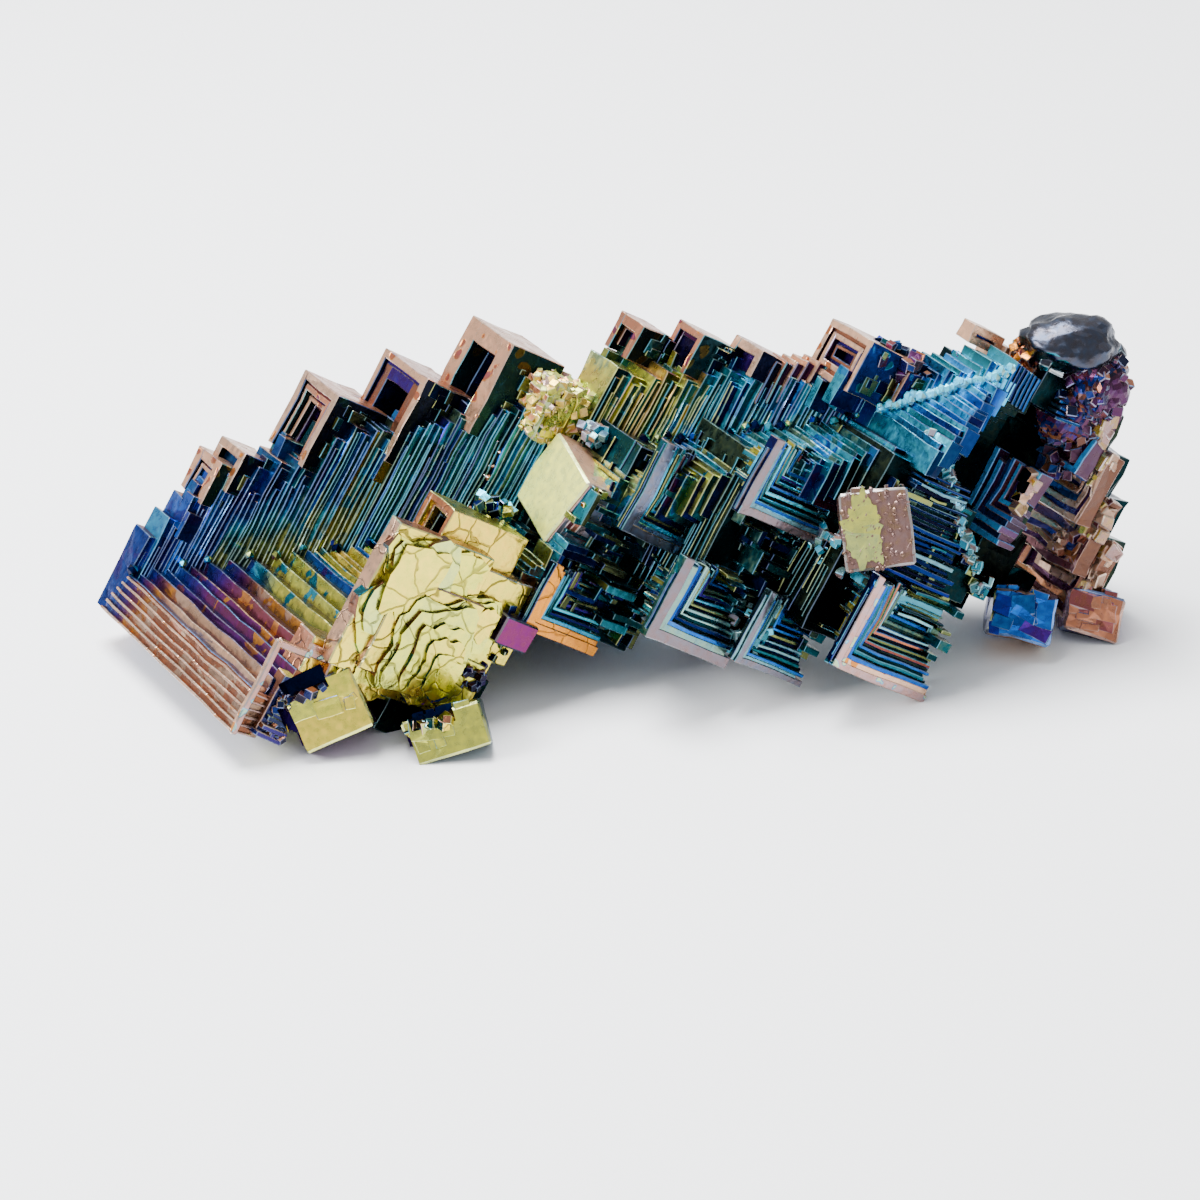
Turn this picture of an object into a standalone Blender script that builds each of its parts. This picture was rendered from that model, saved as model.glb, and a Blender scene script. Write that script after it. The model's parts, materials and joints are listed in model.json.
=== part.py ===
"""A bismuth hopper crystal, about 90 mm long: one skeletal crystal of stepped cubes, lying on its side.

Every size is in millimetres along the three cube edges of the crystal's lattice, which are called
p (upwards), q (forwards) and r (to the right and down). A block is (p0, p1, q0, q1, r0, r1).
"""

import math
import random

import bmesh
import bpy
from mathutils import Matrix, Vector

MM = 0.001
CRYSTAL_NAME = "bismuth_crystal"
SEED = 8

# The lattice's edge directions in the world: +X along the crystal, -Y to the front, +Z up.
EDGE_P = Vector((0.4651, 0.2464, 0.8500)).normalized()
EDGE_Q = Vector((0.4890, -0.8720, -0.0149)).normalized()
EDGE_R = EDGE_P.cross(EDGE_Q).normalized()

# Where the lattice's own origin lies above the surface, and beside the middle of the crystal.
GROUND_BELOW_ORIGIN = 7.0
CENTRE = (42.94, -4.765)

# The terraces: the corner of each L-shaped layer climbs along the spine of its trough.
TERRACE = 1.1
SPINES = {
    "left": ((0.0, 0.0, 0.0), (19.6, 17.8, 21.0)),
    "middle": ((28.2, 18.3, 23.2), (34.5, 23.5, 31.1)),
    "right": ((35.3, 24.3, 31.9), (42.4, 30.7, 39.6)),
    "tip": ((43.6, 31.6, 40.4), (52.0, 38.0, 46.0)),
}
# Tables along r. How thick the wings are, how high (p) the upper wing ends, how far forward (q) the
# floor ends, and how far down (r) the hidden back wing goes.
FLOOR_THICKNESS = 4.2
WING_THICKNESSES = ((0.0, 2.7), (2.0, 3.5), (6.0, 4.6))
UPPER_WING_TOPS = (
    (0.0, 4.8), (1.0, 7.0), (2.0, 11.0), (3.0, 13.4), (6.5, 16.2), (9.0, 20.3), (12.0, 22.8),
    (15.0, 26.0), (18.0, 29.6), (21.0, 31.6), (23.2, 36.0), (27.0, 37.7), (31.0, 40.6),
    (36.0, 43.4), (40.0, 46.4), (46.0, 52.6),
)
FLOOR_FRONTS = (
    (0.0, 25.7), (8.0, 26.0), (21.0, 25.4), (23.2, 25.5), (31.0, 32.0), (36.0, 36.0), (39.6, 38.0),
    (40.4, 40.8), (46.0, 41.2),
)
BACK_WING_ENDS = (
    (0.0, 8.0), (7.0, 24.0), (10.0, 32.0), (18.0, 39.0), (21.0, 40.4), (24.0, 39.4), (32.0, 45.4),
    (46.0, 57.2),
)

# Solid masses that the wings grow from, and the dark roots that carry the blocks of both ends.
MASSES = (
    (11.0, 30.0, 10.5, 18.2, 22.6, 27.5),
    (14.5, 31.8, 17.8, 25.6, 24.2, 33.0),
    (19.0, 36.0, 22.0, 32.4, 30.5, 41.5),
    (24.6, 41.6, 27.5, 38.8, 38.4, 50.0),
    (31.4, 48.6, 25.5, 33.6, 45.0, 56.4),
    (0.5, 8.0, 22.0, 26.8, 12.0, 20.6),
    (33.2, 38.4, 32.0, 37.0, 52.6, 61.6),
)

# Cubes with nested rims on their left faces: along the upper wing's top, and behind the front slabs.
LEFT_HOPPERS = (
    (8.5, 12.6, -2.3, 2.3, 1.9, 5.2),
    (10.5, 14.3, -1.4, 3.2, 2.9, 6.4),
    (15.6, 22.8, -0.3, 6.4, 6.7, 12.4),
    (19.6, 27.7, 2.4, 10.4, 11.4, 16.9),
    (25.2, 34.0, 5.9, 13.8, 15.6, 21.6),
    (37.2, 40.6, 13.6, 17.6, 24.2, 28.2),
    (38.6, 42.4, 17.2, 21.4, 27.6, 32.4),
    (41.0, 43.6, 20.6, 25.2, 31.2, 36.4),
    (41.6, 48.9, 25.2, 31.8, 36.2, 42.4),
    (41.6, 46.9, 28.0, 33.6, 39.8, 44.6),
    (8.0, 20.4, 20.8, 25.4, 9.8, 18.4),
)
# Squares with L-shaped terraces on their front faces: the upper row, then the lower row.
FRONT_HOPPERS = (
    (24.8, 33.5, 23.6, 29.2, 23.8, 34.6),
    (31.3, 38.4, 30.4, 36.2, 28.4, 38.8),
    (13.6, 20.0, 22.6, 28.2, 20.0, 28.2),
    (18.4, 26.0, 29.6, 36.6, 25.6, 34.9),
    (19.6, 26.4, 31.4, 38.2, 34.2, 42.0),
    (23.4, 32.2, 36.4, 44.2, 39.0, 50.2),
)
# Plates of the right end with nested V-shaped rims on their left faces, the foremost first.
V_HOPPERS = (
    (38.0, 45.4, 33.6, 39.8, 54.0, 56.4),
    (46.6, 53.0, 29.0, 39.8, 57.0, 59.0),
    (42.6, 49.6, 30.0, 40.4, 59.2, 61.2),
    (38.6, 46.0, 29.6, 40.4, 61.6, 63.4),
    (34.5, 42.6, 28.6, 39.8, 64.6, 66.6),
)
# Blocks with no rims: the stepped slabs of the front, the crest, and the ledges and cubes of the right end.
PLAIN_BLOCKS = (
    (-2.6, 6.0, 22.4, 25.6, 3.2, 9.6),
    (-3.8, 2.4, 24.6, 27.0, 0.5, 3.4),
    (3.4, 17.0, 25.2, 26.8, 5.0, 20.0),
    (4.6, 18.1, 25.4, 27.4, 4.3, 14.8),
    (3.0, 16.2, 22.8, 26.2, 9.6, 19.6),
    (5.4, 14.2, 26.0, 28.2, 6.6, 15.4),
    (5.6, 11.2, 27.0, 29.0, 10.4, 15.4),
    (4.4, 9.4, 26.4, 27.8, 12.2, 18.8),
    (9.6, 14.0, 24.0, 28.0, 18.2, 21.4),
    (27.4, 33.0, 11.0, 17.6, 19.0, 23.4),
    (17.6, 27.8, 11.6, 15.4, 18.6, 23.4),
    (13.4, 19.4, 16.5, 22.0, 16.2, 19.2),
    (39.6, 43.2, 22.8, 25.4, 33.0, 34.6),
    (40.6, 44.4, 24.0, 26.6, 34.8, 36.4),
    (41.6, 45.4, 25.0, 27.8, 36.6, 38.2),
    (30.8, 40.0, 33.4, 40.2, 41.0, 52.6),
    (34.8, 38.6, 36.0, 41.0, 46.0, 53.4),
    (44.2, 47.0, 38.0, 41.0, 46.6, 50.0),
    (44.0, 50.8, 33.0, 38.2, 46.2, 48.6),
    (44.0, 49.4, 33.0, 37.4, 48.4, 51.0),
    (44.0, 48.0, 33.0, 36.6, 50.8, 54.4),
    (52.5, 54.2, 31.2, 33.2, 44.4, 48.2),
    (50.4, 53.6, 30.0, 33.8, 48.2, 50.6),
    (49.8, 52.6, 32.0, 35.0, 49.8, 52.2),
)
# The deep caves between the right trough and the right end's plates.
CAVES = (
    (30.5, 40.2, 38.6, 44.0, 49.4, 53.4),
    (40.6, 46.6, 35.0, 42.5, 50.2, 53.4),
)

# Cubes turned about the r edge: the middle (p, q, r), the size and the turn in degrees.
TWISTED_BLOCKS = (
    ((24.8, 21.2, 23.1), (6.8, 7.8, 4.8), 15.0),
)
# Cubes that lean against the front: the middle in world mm from the lattice's origin, the size (across,
# deep, high), and the roll in degrees about the line that looks at them from the front and above.
LEANING_TILT = 25.0
LEANING_BLOCKS = (
    ((18.5, -18.6, -4.2), (6.6, 7.0, 5.5), 24.0),
    ((28.6, -19.6, -5.9), (6.8, 6.4, 3.9), 17.0),
    ((65.1, -8.6, 8.0), (6.0, 5.0, 6.7), 7.0),
    ((78.6, -0.6, -3.9), (5.5, 5.6, 4.2), -11.0),
    ((85.4, 3.2, -5.6), (5.0, 5.6, 4.0), -14.0),
)
# Rounded lumps: the middle in world mm from the lattice's origin, and the three radii.
LUMPS = (
    ((82.7, 4.0, 20.4), (4.6, 3.8, 2.5)),
    ((84.9, 3.4, 16.6), (2.6, 3.0, 3.6)),
    ((82.8, 3.8, 13.8), (3.0, 3.0, 3.4)),
    ((78.8, 4.4, 18.2), (1.7, 2.0, 2.2)),
)

# Rims and terraces of the hoppers: their width, their depth, and how many lie inside each other. The
# hollows are cut from a little past the face.
RIM = 0.85
RIM_DEPTH = 0.9
RIM_COUNT = 3
PAST_FACE = 1.0
FRONT_RIM = 1.15
FRONT_RIM_DEPTH = 0.85
FRONT_RIM_COUNT = 4
FRONT_SIDE_RIM = 1.3
# A front square is whole for this depth behind its face, and further back it steps in on all sides. The
# smaller block starts hidden in the whole one.
FRONT_WHOLE = 3.8
FRONT_STEP_IN = 1.5
FRONT_HIDDEN = 1.0
# The V-shaped rims: their width, how far each lies behind the last, and the root behind the plate, which
# is set in at the bottom and the front. The hollow overlaps its rims a little.
V_RIM = 1.25
V_RIM_DEPTH = 0.5
V_RIM_COUNT = 3
V_ROOT_IN = 0.8
V_ROOT_SHORT = 2.4
V_ROOT_DEPTH = 4.6
V_OVERLAP = 0.1

# How far each face of the grown blocks strays, so that no two neighbours' faces coincide.
FACE_JITTER = 0.06
TOP_JITTER = (-0.7, 0.5)
FRONT_JITTER = (-0.5, 0.4)
BACK_JITTER = (-0.8, 0.8)

# The slab that cuts the feet flat, in metres.
GROUND_SIZE = (0.3, 0.3, 0.05)


def at_height(table, r):
    """The value at r, in a straight line between the rows of a table."""
    if r <= table[0][0]:
        return table[0][1]
    for (r0, value0), (r1, value1) in zip(table, table[1:]):
        if r <= r1:
            return value0 + (value1 - value0) * (r - r0) / (r1 - r0)
    return table[-1][1]


def lattice_matrix():
    """From millimetres along p, q and r to metres in the world."""
    turn = Matrix((EDGE_P, EDGE_Q, EDGE_R)).transposed().to_4x4()
    origin = Vector((-CENTRE[0], -CENTRE[1], GROUND_BELOW_ORIGIN)) * MM
    return Matrix.Translation(origin) @ turn @ Matrix.Scale(MM, 4)


def cube_place(matrix, centre, size):
    """The matrix of a unit cube that becomes a box of the given size about its middle."""
    return matrix @ Matrix.Translation(Vector(centre)) @ Matrix.Diagonal((*size, 1.0))


def block_place(block, jitter):
    """The matrix of a lattice block (p0, p1, q0, q1, r0, r1); jitter keeps neighbours' faces apart."""
    sides = [value + jitter.uniform(-FACE_JITTER, FACE_JITTER) for value in block]
    lows = Vector(sides[0::2])
    highs = Vector(sides[1::2])
    return cube_place(lattice_matrix(), (lows + highs) / 2, highs - lows)


def terrace_blocks(spine, jitter):
    """The three fins of every layer along one spine: upper wing, floor and hidden back wing."""
    start = Vector(spine[0])
    end = Vector(spine[1])
    count = round((end.z - start.z) / TERRACE)
    for index in range(count + 1):
        p, q, r = start.lerp(end, index / count)
        thickness = at_height(WING_THICKNESSES, r)
        top = at_height(UPPER_WING_TOPS, r) + jitter.uniform(*TOP_JITTER)
        front = at_height(FLOOR_FRONTS, r) + jitter.uniform(*FRONT_JITTER)
        below = at_height(BACK_WING_ENDS, r) + jitter.uniform(*BACK_JITTER)
        low = p - FLOOR_THICKNESS
        inner = q - thickness
        back = r + thickness
        yield low, top, inner, q, r, back
        yield low, p, inner, front, r, back
        yield low, p, inner, q, r, below


def left_rims(block):
    """Nested hollows of a cube's left face, each one inside the last; they open at the bottom."""
    p0, p1, q0, q1, r0, r1 = block
    count = min(RIM_COUNT, int((q1 - q0 - RIM) / (2 * RIM)))
    for ring in range(1, count + 1):
        inset = RIM * ring
        depth = RIM_DEPTH * ring
        yield p0 - PAST_FACE, p1 - inset, q0 + inset, q1 - inset, r0 - PAST_FACE, r0 + depth


def square_blocks(block):
    """A front square: a whole plate, and behind it a smaller block."""
    p0, p1, q0, q1, r0, r1 = block
    step = FRONT_STEP_IN
    yield p0, p1, q1 - FRONT_WHOLE, q1, r0, r1
    yield p0 + step, p1 - step, q0, q1 - FRONT_HIDDEN, r0 + step, r1 - step


def front_rims(block):
    """L-shaped terraces of a cube's front face, each one inside the last; they open at the top right."""
    p0, p1, q0, q1, r0, r1 = block
    for ring in range(1, FRONT_RIM_COUNT + 1):
        inset = FRONT_RIM * ring
        depth = FRONT_RIM_DEPTH * ring
        side = inset * FRONT_SIDE_RIM
        yield p0 + inset, p1 + PAST_FACE, q1 - depth, q1 + PAST_FACE, r0 + side, r1 + PAST_FACE


def v_blocks(block):
    """A plate of V-shaped rims, each a low and a front wall behind the last, on its root."""
    p0, p1, q0, q1, r0, r1 = block
    for ring in range(V_RIM_COUNT):
        low = p0 + V_RIM * ring
        front = q1 - V_RIM * ring
        face = r0 + V_RIM_DEPTH * ring
        yield low, low + V_RIM, q0, front, face, r1
        yield low, p1, front - V_RIM, front, face, r1
    inset = V_RIM * V_RIM_COUNT
    floor = r0 + V_RIM_DEPTH * V_RIM_COUNT
    yield p0 + inset - V_OVERLAP, p1, q0, q1 - inset + V_OVERLAP, floor, r1
    yield p0 + V_ROOT_IN, p1, q0, q1 - V_ROOT_SHORT, r1 - V_RIM_DEPTH, r0 + V_ROOT_DEPTH


def standing_matrix():
    """From millimetres beside the lattice's origin, with the world's axes, to metres in the world."""
    origin = Vector((-CENTRE[0], -CENTRE[1], GROUND_BELOW_ORIGIN)) * MM
    return Matrix.Translation(origin) @ Matrix.Scale(MM, 4)


def leaning_place(centre, size, roll):
    """The matrix of a cube that leans back and is rolled about its own front."""
    tilt = Matrix.Rotation(math.radians(-LEANING_TILT), 4, "X")
    turn = Matrix.Rotation(math.radians(-roll), 4, "Y")
    place = standing_matrix() @ Matrix.Translation(Vector(centre)) @ tilt @ turn
    return cube_place(place, (0.0, 0.0, 0.0), size)


def twisted_place(centre, size, degrees):
    """The matrix of a cube that is turned about the r edge."""
    turn = Matrix.Rotation(math.radians(degrees), 4, "Z")
    place = lattice_matrix() @ Matrix.Translation(Vector(centre)) @ turn
    return cube_place(place, (0.0, 0.0, 0.0), size)


def growth_places():
    """The matrices of all the cubes that the crystal is grown together from."""
    jitter = random.Random(SEED)
    for spine in SPINES.values():
        for block in terrace_blocks(spine, jitter):
            yield block_place(block, jitter)
    for block in MASSES + LEFT_HOPPERS + PLAIN_BLOCKS:
        yield block_place(block, jitter)
    for square in FRONT_HOPPERS:
        for block in square_blocks(square):
            yield block_place(block, jitter)
    for plate in V_HOPPERS:
        for block in v_blocks(plate):
            yield block_place(block, jitter)
    for centre, size, degrees in TWISTED_BLOCKS:
        yield twisted_place(centre, size, degrees)
    for centre, size, roll in LEANING_BLOCKS:
        yield leaning_place(centre, size, roll)


def hollow_places():
    """The matrices of the cubes that cut the nested rims."""
    jitter = random.Random(SEED)
    for cube in LEFT_HOPPERS:
        for hollow in left_rims(cube):
            yield block_place(hollow, jitter)
    for square in FRONT_HOPPERS:
        for hollow in front_rims(square):
            yield block_place(hollow, jitter)
    for cave in CAVES:
        yield block_place(cave, jitter)


def add_object(name, shape, collection):
    """A mesh object from a bmesh, which is freed."""
    mesh = bpy.data.meshes.new(name)
    shape.to_mesh(mesh)
    shape.free()
    made = bpy.data.objects.new(name, mesh)
    collection.objects.link(made)
    return made


def add_cube(name, place, collection):
    """A box as an object of its own."""
    shape = bmesh.new()
    bmesh.ops.create_cube(shape, size=1.0, matrix=place)
    return add_object(name, shape, collection)


def add_lump(name, centre, radii, collection):
    """One rounded lump of the right end."""
    shape = bmesh.new()
    place = cube_place(standing_matrix(), centre, radii)
    bmesh.ops.create_icosphere(shape, subdivisions=2, radius=1.0, matrix=place)
    return add_object(name, shape, collection)


def add_helpers(name):
    """A collection of helper shapes, which no render shows."""
    helpers = bpy.data.collections.new(name)
    helpers.hide_render = True
    bpy.context.scene.collection.children.link(helpers)
    return helpers


def combine(crystal, operation, helpers):
    """One Boolean with every helper of a collection, applied."""
    for helper in helpers.objects:
        helper.hide_render = True
        helper.display_type = "WIRE"
    modifier = crystal.modifiers.new(operation.title(), "BOOLEAN")
    modifier.operation = operation
    modifier.operand_type = "COLLECTION"
    modifier.collection = helpers
    modifier.solver = "MANIFOLD"
    depsgraph = bpy.context.evaluated_depsgraph_get()
    mesh = bpy.data.meshes.new_from_object(crystal.evaluated_get(depsgraph))
    crystal.modifiers.clear()
    crystal.data = mesh


def keep_largest_body(mesh):
    """Removes crumbs that the cuts leave loose, and the walls of sealed hollows."""
    shape = bmesh.new()
    shape.from_mesh(mesh)
    left = set(shape.faces)
    bodies = []
    while left:
        body = []
        waiting = [left.pop()]
        while waiting:
            face = waiting.pop()
            body.append(face)
            joints = [edge for edge in face.edges if edge.is_manifold]
            near = {other for edge in joints for other in edge.link_faces} & left
            left -= near
            waiting.extend(near)
        bodies.append(body)
    bodies.sort(key=len)
    for body in bodies[:-1]:
        bmesh.ops.delete(shape, geom=body, context="FACES")
    bmesh.ops.triangulate(shape, faces=shape.faces[:])
    shape.to_mesh(mesh)
    shape.free()


def bismuth_material():
    """The oxide-filmed metal, in the middle of its many colours."""
    material = bpy.data.materials.new("oxide_film")
    material.use_nodes = True
    surface = material.node_tree.nodes["Principled BSDF"]
    surface.inputs["Base Color"].default_value = (0.20, 0.25, 0.36, 1.0)
    surface.inputs["Metallic"].default_value = 1.0
    surface.inputs["Roughness"].default_value = 0.32
    return material


def clear_scene():
    """An empty scene to start from."""
    for old in list(bpy.data.objects):
        bpy.data.objects.remove(old, do_unlink=True)


def main():
    clear_scene()
    parts = bpy.data.collections.new("bismuth_hopper_crystal")
    bpy.context.scene.collection.children.link(parts)
    growths = add_helpers("growths")
    hollows = add_helpers("hollows")
    places = list(growth_places())
    crystal = add_cube(CRYSTAL_NAME, places[0], parts)
    for index, place in enumerate(places[1:]):
        add_cube(f"growth_{index}", place, growths)
    for index, (centre, radii) in enumerate(LUMPS):
        add_lump(f"lump_{index}", centre, radii, growths)
    for index, place in enumerate(hollow_places()):
        add_cube(f"hollow_{index}", place, hollows)
    ground_middle = (0.0, 0.0, -GROUND_SIZE[2] / 2)
    add_cube("ground", cube_place(Matrix.Identity(4), ground_middle, GROUND_SIZE), hollows)
    combine(crystal, "UNION", growths)
    combine(crystal, "DIFFERENCE", hollows)
    keep_largest_body(crystal.data)
    crystal.data.materials.clear()
    crystal.data.materials.append(bismuth_material())


main()
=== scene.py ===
"""The looks of a bismuth hopper crystal: fine terraces, rims and druses, under an iridescent oxide film."""

import json
import math
import random

import bmesh
import bpy
from mathutils import Matrix, Vector, noise

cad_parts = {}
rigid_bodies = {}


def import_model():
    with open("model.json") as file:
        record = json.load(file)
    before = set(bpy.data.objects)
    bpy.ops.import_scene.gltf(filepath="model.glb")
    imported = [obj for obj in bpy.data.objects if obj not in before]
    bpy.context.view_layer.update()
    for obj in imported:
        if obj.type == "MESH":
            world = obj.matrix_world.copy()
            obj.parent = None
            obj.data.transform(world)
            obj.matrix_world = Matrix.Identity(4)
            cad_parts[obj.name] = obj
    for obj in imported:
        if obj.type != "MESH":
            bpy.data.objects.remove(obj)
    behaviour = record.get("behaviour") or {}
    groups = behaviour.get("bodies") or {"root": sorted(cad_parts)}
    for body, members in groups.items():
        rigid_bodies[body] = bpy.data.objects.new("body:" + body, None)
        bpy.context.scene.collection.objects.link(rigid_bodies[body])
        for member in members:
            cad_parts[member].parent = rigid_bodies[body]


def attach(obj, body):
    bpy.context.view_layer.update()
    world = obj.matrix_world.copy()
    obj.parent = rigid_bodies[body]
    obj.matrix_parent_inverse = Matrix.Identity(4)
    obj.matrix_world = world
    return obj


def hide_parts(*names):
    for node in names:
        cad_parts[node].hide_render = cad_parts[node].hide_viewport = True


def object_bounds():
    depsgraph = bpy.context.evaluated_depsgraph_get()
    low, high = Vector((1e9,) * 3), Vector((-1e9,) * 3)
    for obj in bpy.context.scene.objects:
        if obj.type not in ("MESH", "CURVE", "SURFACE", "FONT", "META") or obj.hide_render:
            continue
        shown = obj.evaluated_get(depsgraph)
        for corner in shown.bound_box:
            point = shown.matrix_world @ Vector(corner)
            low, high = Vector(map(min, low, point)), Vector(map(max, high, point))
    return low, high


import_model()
cad_low, cad_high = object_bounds()

# ---------------------------------------------------------------------------------------------------------
# The terraces. The crystal grew as one skeleton of bismuth cubes. Each layer of it is an L: an upper fin and
# a floor fin, whose corner climbs along the spine of its trough. A third fin runs down and back, where
# nobody looks.

# Every flat face lies along one of the lattice's directions: p upwards, q forwards, r to the right and down.
# Blocks are (p0, p1, q0, q1, r0, r1) in millimetres from the tip of the left trough's spine.
MM = 0.001
# Further, in millimetres, than the crystal reaches.
FAR = 99.0
P, Q, R = 0, 1, 2
EDGE_P = Vector((0.4651, 0.2464, 0.8500)).normalized()
EDGE_Q = Vector((0.4890, -0.8720, -0.0149)).normalized()
EDGE_R = EDGE_P.cross(EDGE_Q).normalized()
TIP_OF_SPINE = Vector((-42.94, 4.765, 7.0)) * MM

lattice = (Matrix.Translation(TIP_OF_SPINE)
           @ Matrix((EDGE_P, EDGE_Q, EDGE_R)).transposed().to_4x4()
           @ Matrix.Scale(MM, 4))
to_lattice = lattice.inverted()

grown = bpy.data.collections.new("grown_blocks")
sizes = random.Random(21)

# The oxide's colours run with its thickness: bare metal, a first order of tan to cyan, a second order of
# pale green and yellow, and the pearly tints of the thickest film.
SILVER, TAN, COPPER, GOLD, ROSE, PURPLE, VIOLET = 0.02, 0.10, 0.17, 0.25, 0.33, 0.41, 0.48
NAVY, COBALT, SKY, CYAN, TEAL, CELADON, LIME, STRAW = 0.55, 0.62, 0.69, 0.74, 0.79, 0.85, 0.91, 0.97
PEARL_PINK, PEARL_GREY, PEARL_BLUE, PEARL_CYAN, PEARL_GREEN = 1.03, 1.08, 1.13, 1.18, 1.23

# A zone is a stretch of the crystal with a film of its own. For its left (-r), front (+q) and top (+p)
# faces it holds one band (thicknesses that its terraces take, darkest and brightest shade), or a list of
# bands that start with the r from which they hold. The shade darkens or lightens the film. It is painted
# light and shade: a zone's sides are painted lit or shaded, and its hollows and gaps near-black. It also
# varies at random from terrace to terrace. near_spine is the film and shade that its terraces take at the
# spine, from and to how far off in millimetres, and between which r. It paints shade in the crease along a
# trough's spine, and a bright painted highlight along the feather's spine. edge is the least shade of the
# bevels, a painted highlight along every edge.
zones = []


def new_zone(left, front, top, edge=0.85, spread=0.022, mottle=1.0, patch=0.0, vein=0.0, spots=0.0,
             near_spine=None, matte=0.0):
    """The zone's number, which its blocks carry through the Booleans."""
    bands = {name: side if isinstance(side, list) else [(0.0, *side)]
             for name, side in (("left", left), ("front", front), ("top", top))}
    zones.append({**bands, "edge": edge, "spread": spread, "mottle": mottle, "patch": patch,
                  "vein": vein, "spots": spots, "near_spine": near_spine, "matte": matte})
    return len(zones) - 1


def keep_shape(shape, zone, collection):
    """Stores a closed shape as a helper object whose faces carry their zone; bevels carry 1 in edge."""
    if not shape.faces.layers.float.get("edge"):
        shape.faces.layers.float.new("edge")
    zone_layer = shape.faces.layers.float.new("zone")
    for face in shape.faces:
        face[zone_layer] = zone
    mesh = bpy.data.meshes.new("helper")
    shape.to_mesh(mesh)
    shape.free()
    collection.objects.link(bpy.data.objects.new("helper", mesh))


def grow(matrix, zone, bevel=0.07, collection=None):
    """A cube with slightly rounded edges, in the place that the matrix gives; its bevels carry a painted
    highlight.
    """
    shape = bmesh.new()
    bmesh.ops.create_cube(shape, size=1.0, matrix=matrix)
    edge_layer = shape.faces.layers.float.new("edge")
    if bevel:
        bevel_highlight = bmesh.ops.bevel(shape, geom=shape.edges[:], offset=bevel * MM, segments=1,
                               affect="EDGES", profile=0.5, material=-1)
        for face in bevel_highlight["faces"]:
            face[edge_layer] = 1.0
    keep_shape(shape, zone, collection or grown)


def grow_block(sides, zone, bevel=0.07, collection=None):
    """A block of the lattice, from its (p0, p1, q0, q1, r0, r1)."""
    lows = Vector(sides[0::2])
    highs = Vector(sides[1::2])
    grow(lattice @ Matrix.Translation((lows + highs) / 2) @ Matrix.Diagonal((*(highs - lows), 1.0)),
         zone, bevel, collection)


def along(table, r):
    """The value at r, in a straight line between the rows of a table."""
    if r <= table[0][0]:
        return table[0][1]
    for (r0, value0), (r1, value1) in zip(table, table[1:]):
        if r <= r1:
            return value0 + (value1 - value0) * (r - r0) / (r1 - r0)
    return table[-1][1]


# The corners of the L run from the start to the end of each spine.
SPINES = (
    ((0.0, 0.0, 0.0), (19.6, 17.8, 21.0)),
    ((28.2, 18.3, 23.2), (34.5, 23.5, 31.1)),
    ((35.3, 24.3, 31.9), (42.4, 30.7, 39.6)),
    ((43.6, 31.6, 40.4), (52.0, 38.0, 46.0)),
)
FLOOR_THICKNESS = 4.2
THIN_FLOOR = 2.4
WING_GAP = 0.32
# From this r on the right trough is a feather of thin fins.
FEATHER_FROM = 40.0
FEATHER_DEPTH = 1.6
FEATHER_KEEL = 4.8
UNEVENNESS = 0.14
WING_THICKNESSES = ((0.0, 2.7), (2.0, 3.5), (6.0, 4.6))
UPPER_WING_TOPS = (
    (0.0, 4.8), (1.0, 7.0), (2.0, 11.0), (3.0, 13.4), (6.5, 16.5), (9.0, 20.6), (12.0, 23.0),
    (15.0, 26.5), (18.0, 30.0), (21.0, 31.6), (23.2, 36.2), (27.0, 37.9), (31.0, 40.8),
    (36.0, 43.6), (40.0, 46.6), (46.0, 53.0),
)
FLOOR_FRONTS = (
    (0.0, 25.7), (8.0, 26.0), (21.0, 25.4), (23.2, 25.5), (31.0, 32.0), (36.0, 36.0), (39.6, 38.0),
    (40.4, 41.0), (42.4, 41.0), (43.4, 39.6), (44.2, 38.9), (46.0, 38.3),
)
BACK_WING_ENDS = (
    (0.0, 8.0), (7.0, 24.0), (10.0, 32.0), (18.0, 39.0), (21.0, 40.4), (24.0, 39.2), (32.0, 45.2),
    (46.0, 57.0),
)
# How far apart the layers lie: (from this r on, the least, the most)
LAYER_GAPS = ((0.0, 0.5, 0.8), (3.0, 0.55, 1.3), (9.0, 0.32, 0.9), (12.0, 0.3, 0.62), (40.0, 0.26, 0.5))

upper_zone = new_zone(
    left=[(-2.0, (NAVY, COBALT, COBALT, SKY), 0.4, 1.0), (3.5, (NAVY, COBALT, SKY, COBALT), 0.2, 1.0),
          (7.0, (TEAL, COBALT, CYAN, COBALT), 0.1, 0.85), (13.0, (TEAL, CYAN, TEAL, NAVY, CYAN), 0.08, 0.8),
          (18.0, (TEAL, COBALT, CYAN, TEAL), 0.08, 0.8), (23.0, (LIME, TEAL, LIME, STRAW), 0.3, 1.0),
          (29.5, (TEAL, CELADON, CYAN), 0.3, 0.9), (33.5, (TEAL, NAVY, CYAN, COBALT), 0.25, 0.8),
          (38.0, (COBALT, SKY, CYAN, SKY), 0.4, 0.95)],
    front=[(0.0, (NAVY, COBALT, NAVY), 0.3, 0.9), (5.0, (NAVY, COBALT, NAVY), 0.15, 0.7),
           (9.0, (TEAL, LIME, TEAL), 0.06, 0.35), (12.0, (TEAL, CYAN), 0.05, 0.4),
           (23.0, (LIME, TEAL, TEAL), 0.06, 0.5), (30.0, (TEAL, CYAN, NAVY), 0.08, 0.5),
           (38.0, (COBALT, CYAN, NAVY), 0.2, 0.7)],
    top=[(0.0, (TAN, ROSE), 0.6, 1.0), (9.0, (NAVY, TEAL, ROSE), 0.3, 0.8), (23.0, (CELADON, TAN), 0.6, 1.0),
         (29.0, (COBALT, CYAN, TAN), 0.4, 0.9)],
    edge=0.85, spread=0.03, mottle=0.6, patch=0.3, near_spine=(LIME, 0.3, 1.0, 6.0, 4.6, 12.0))
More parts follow.
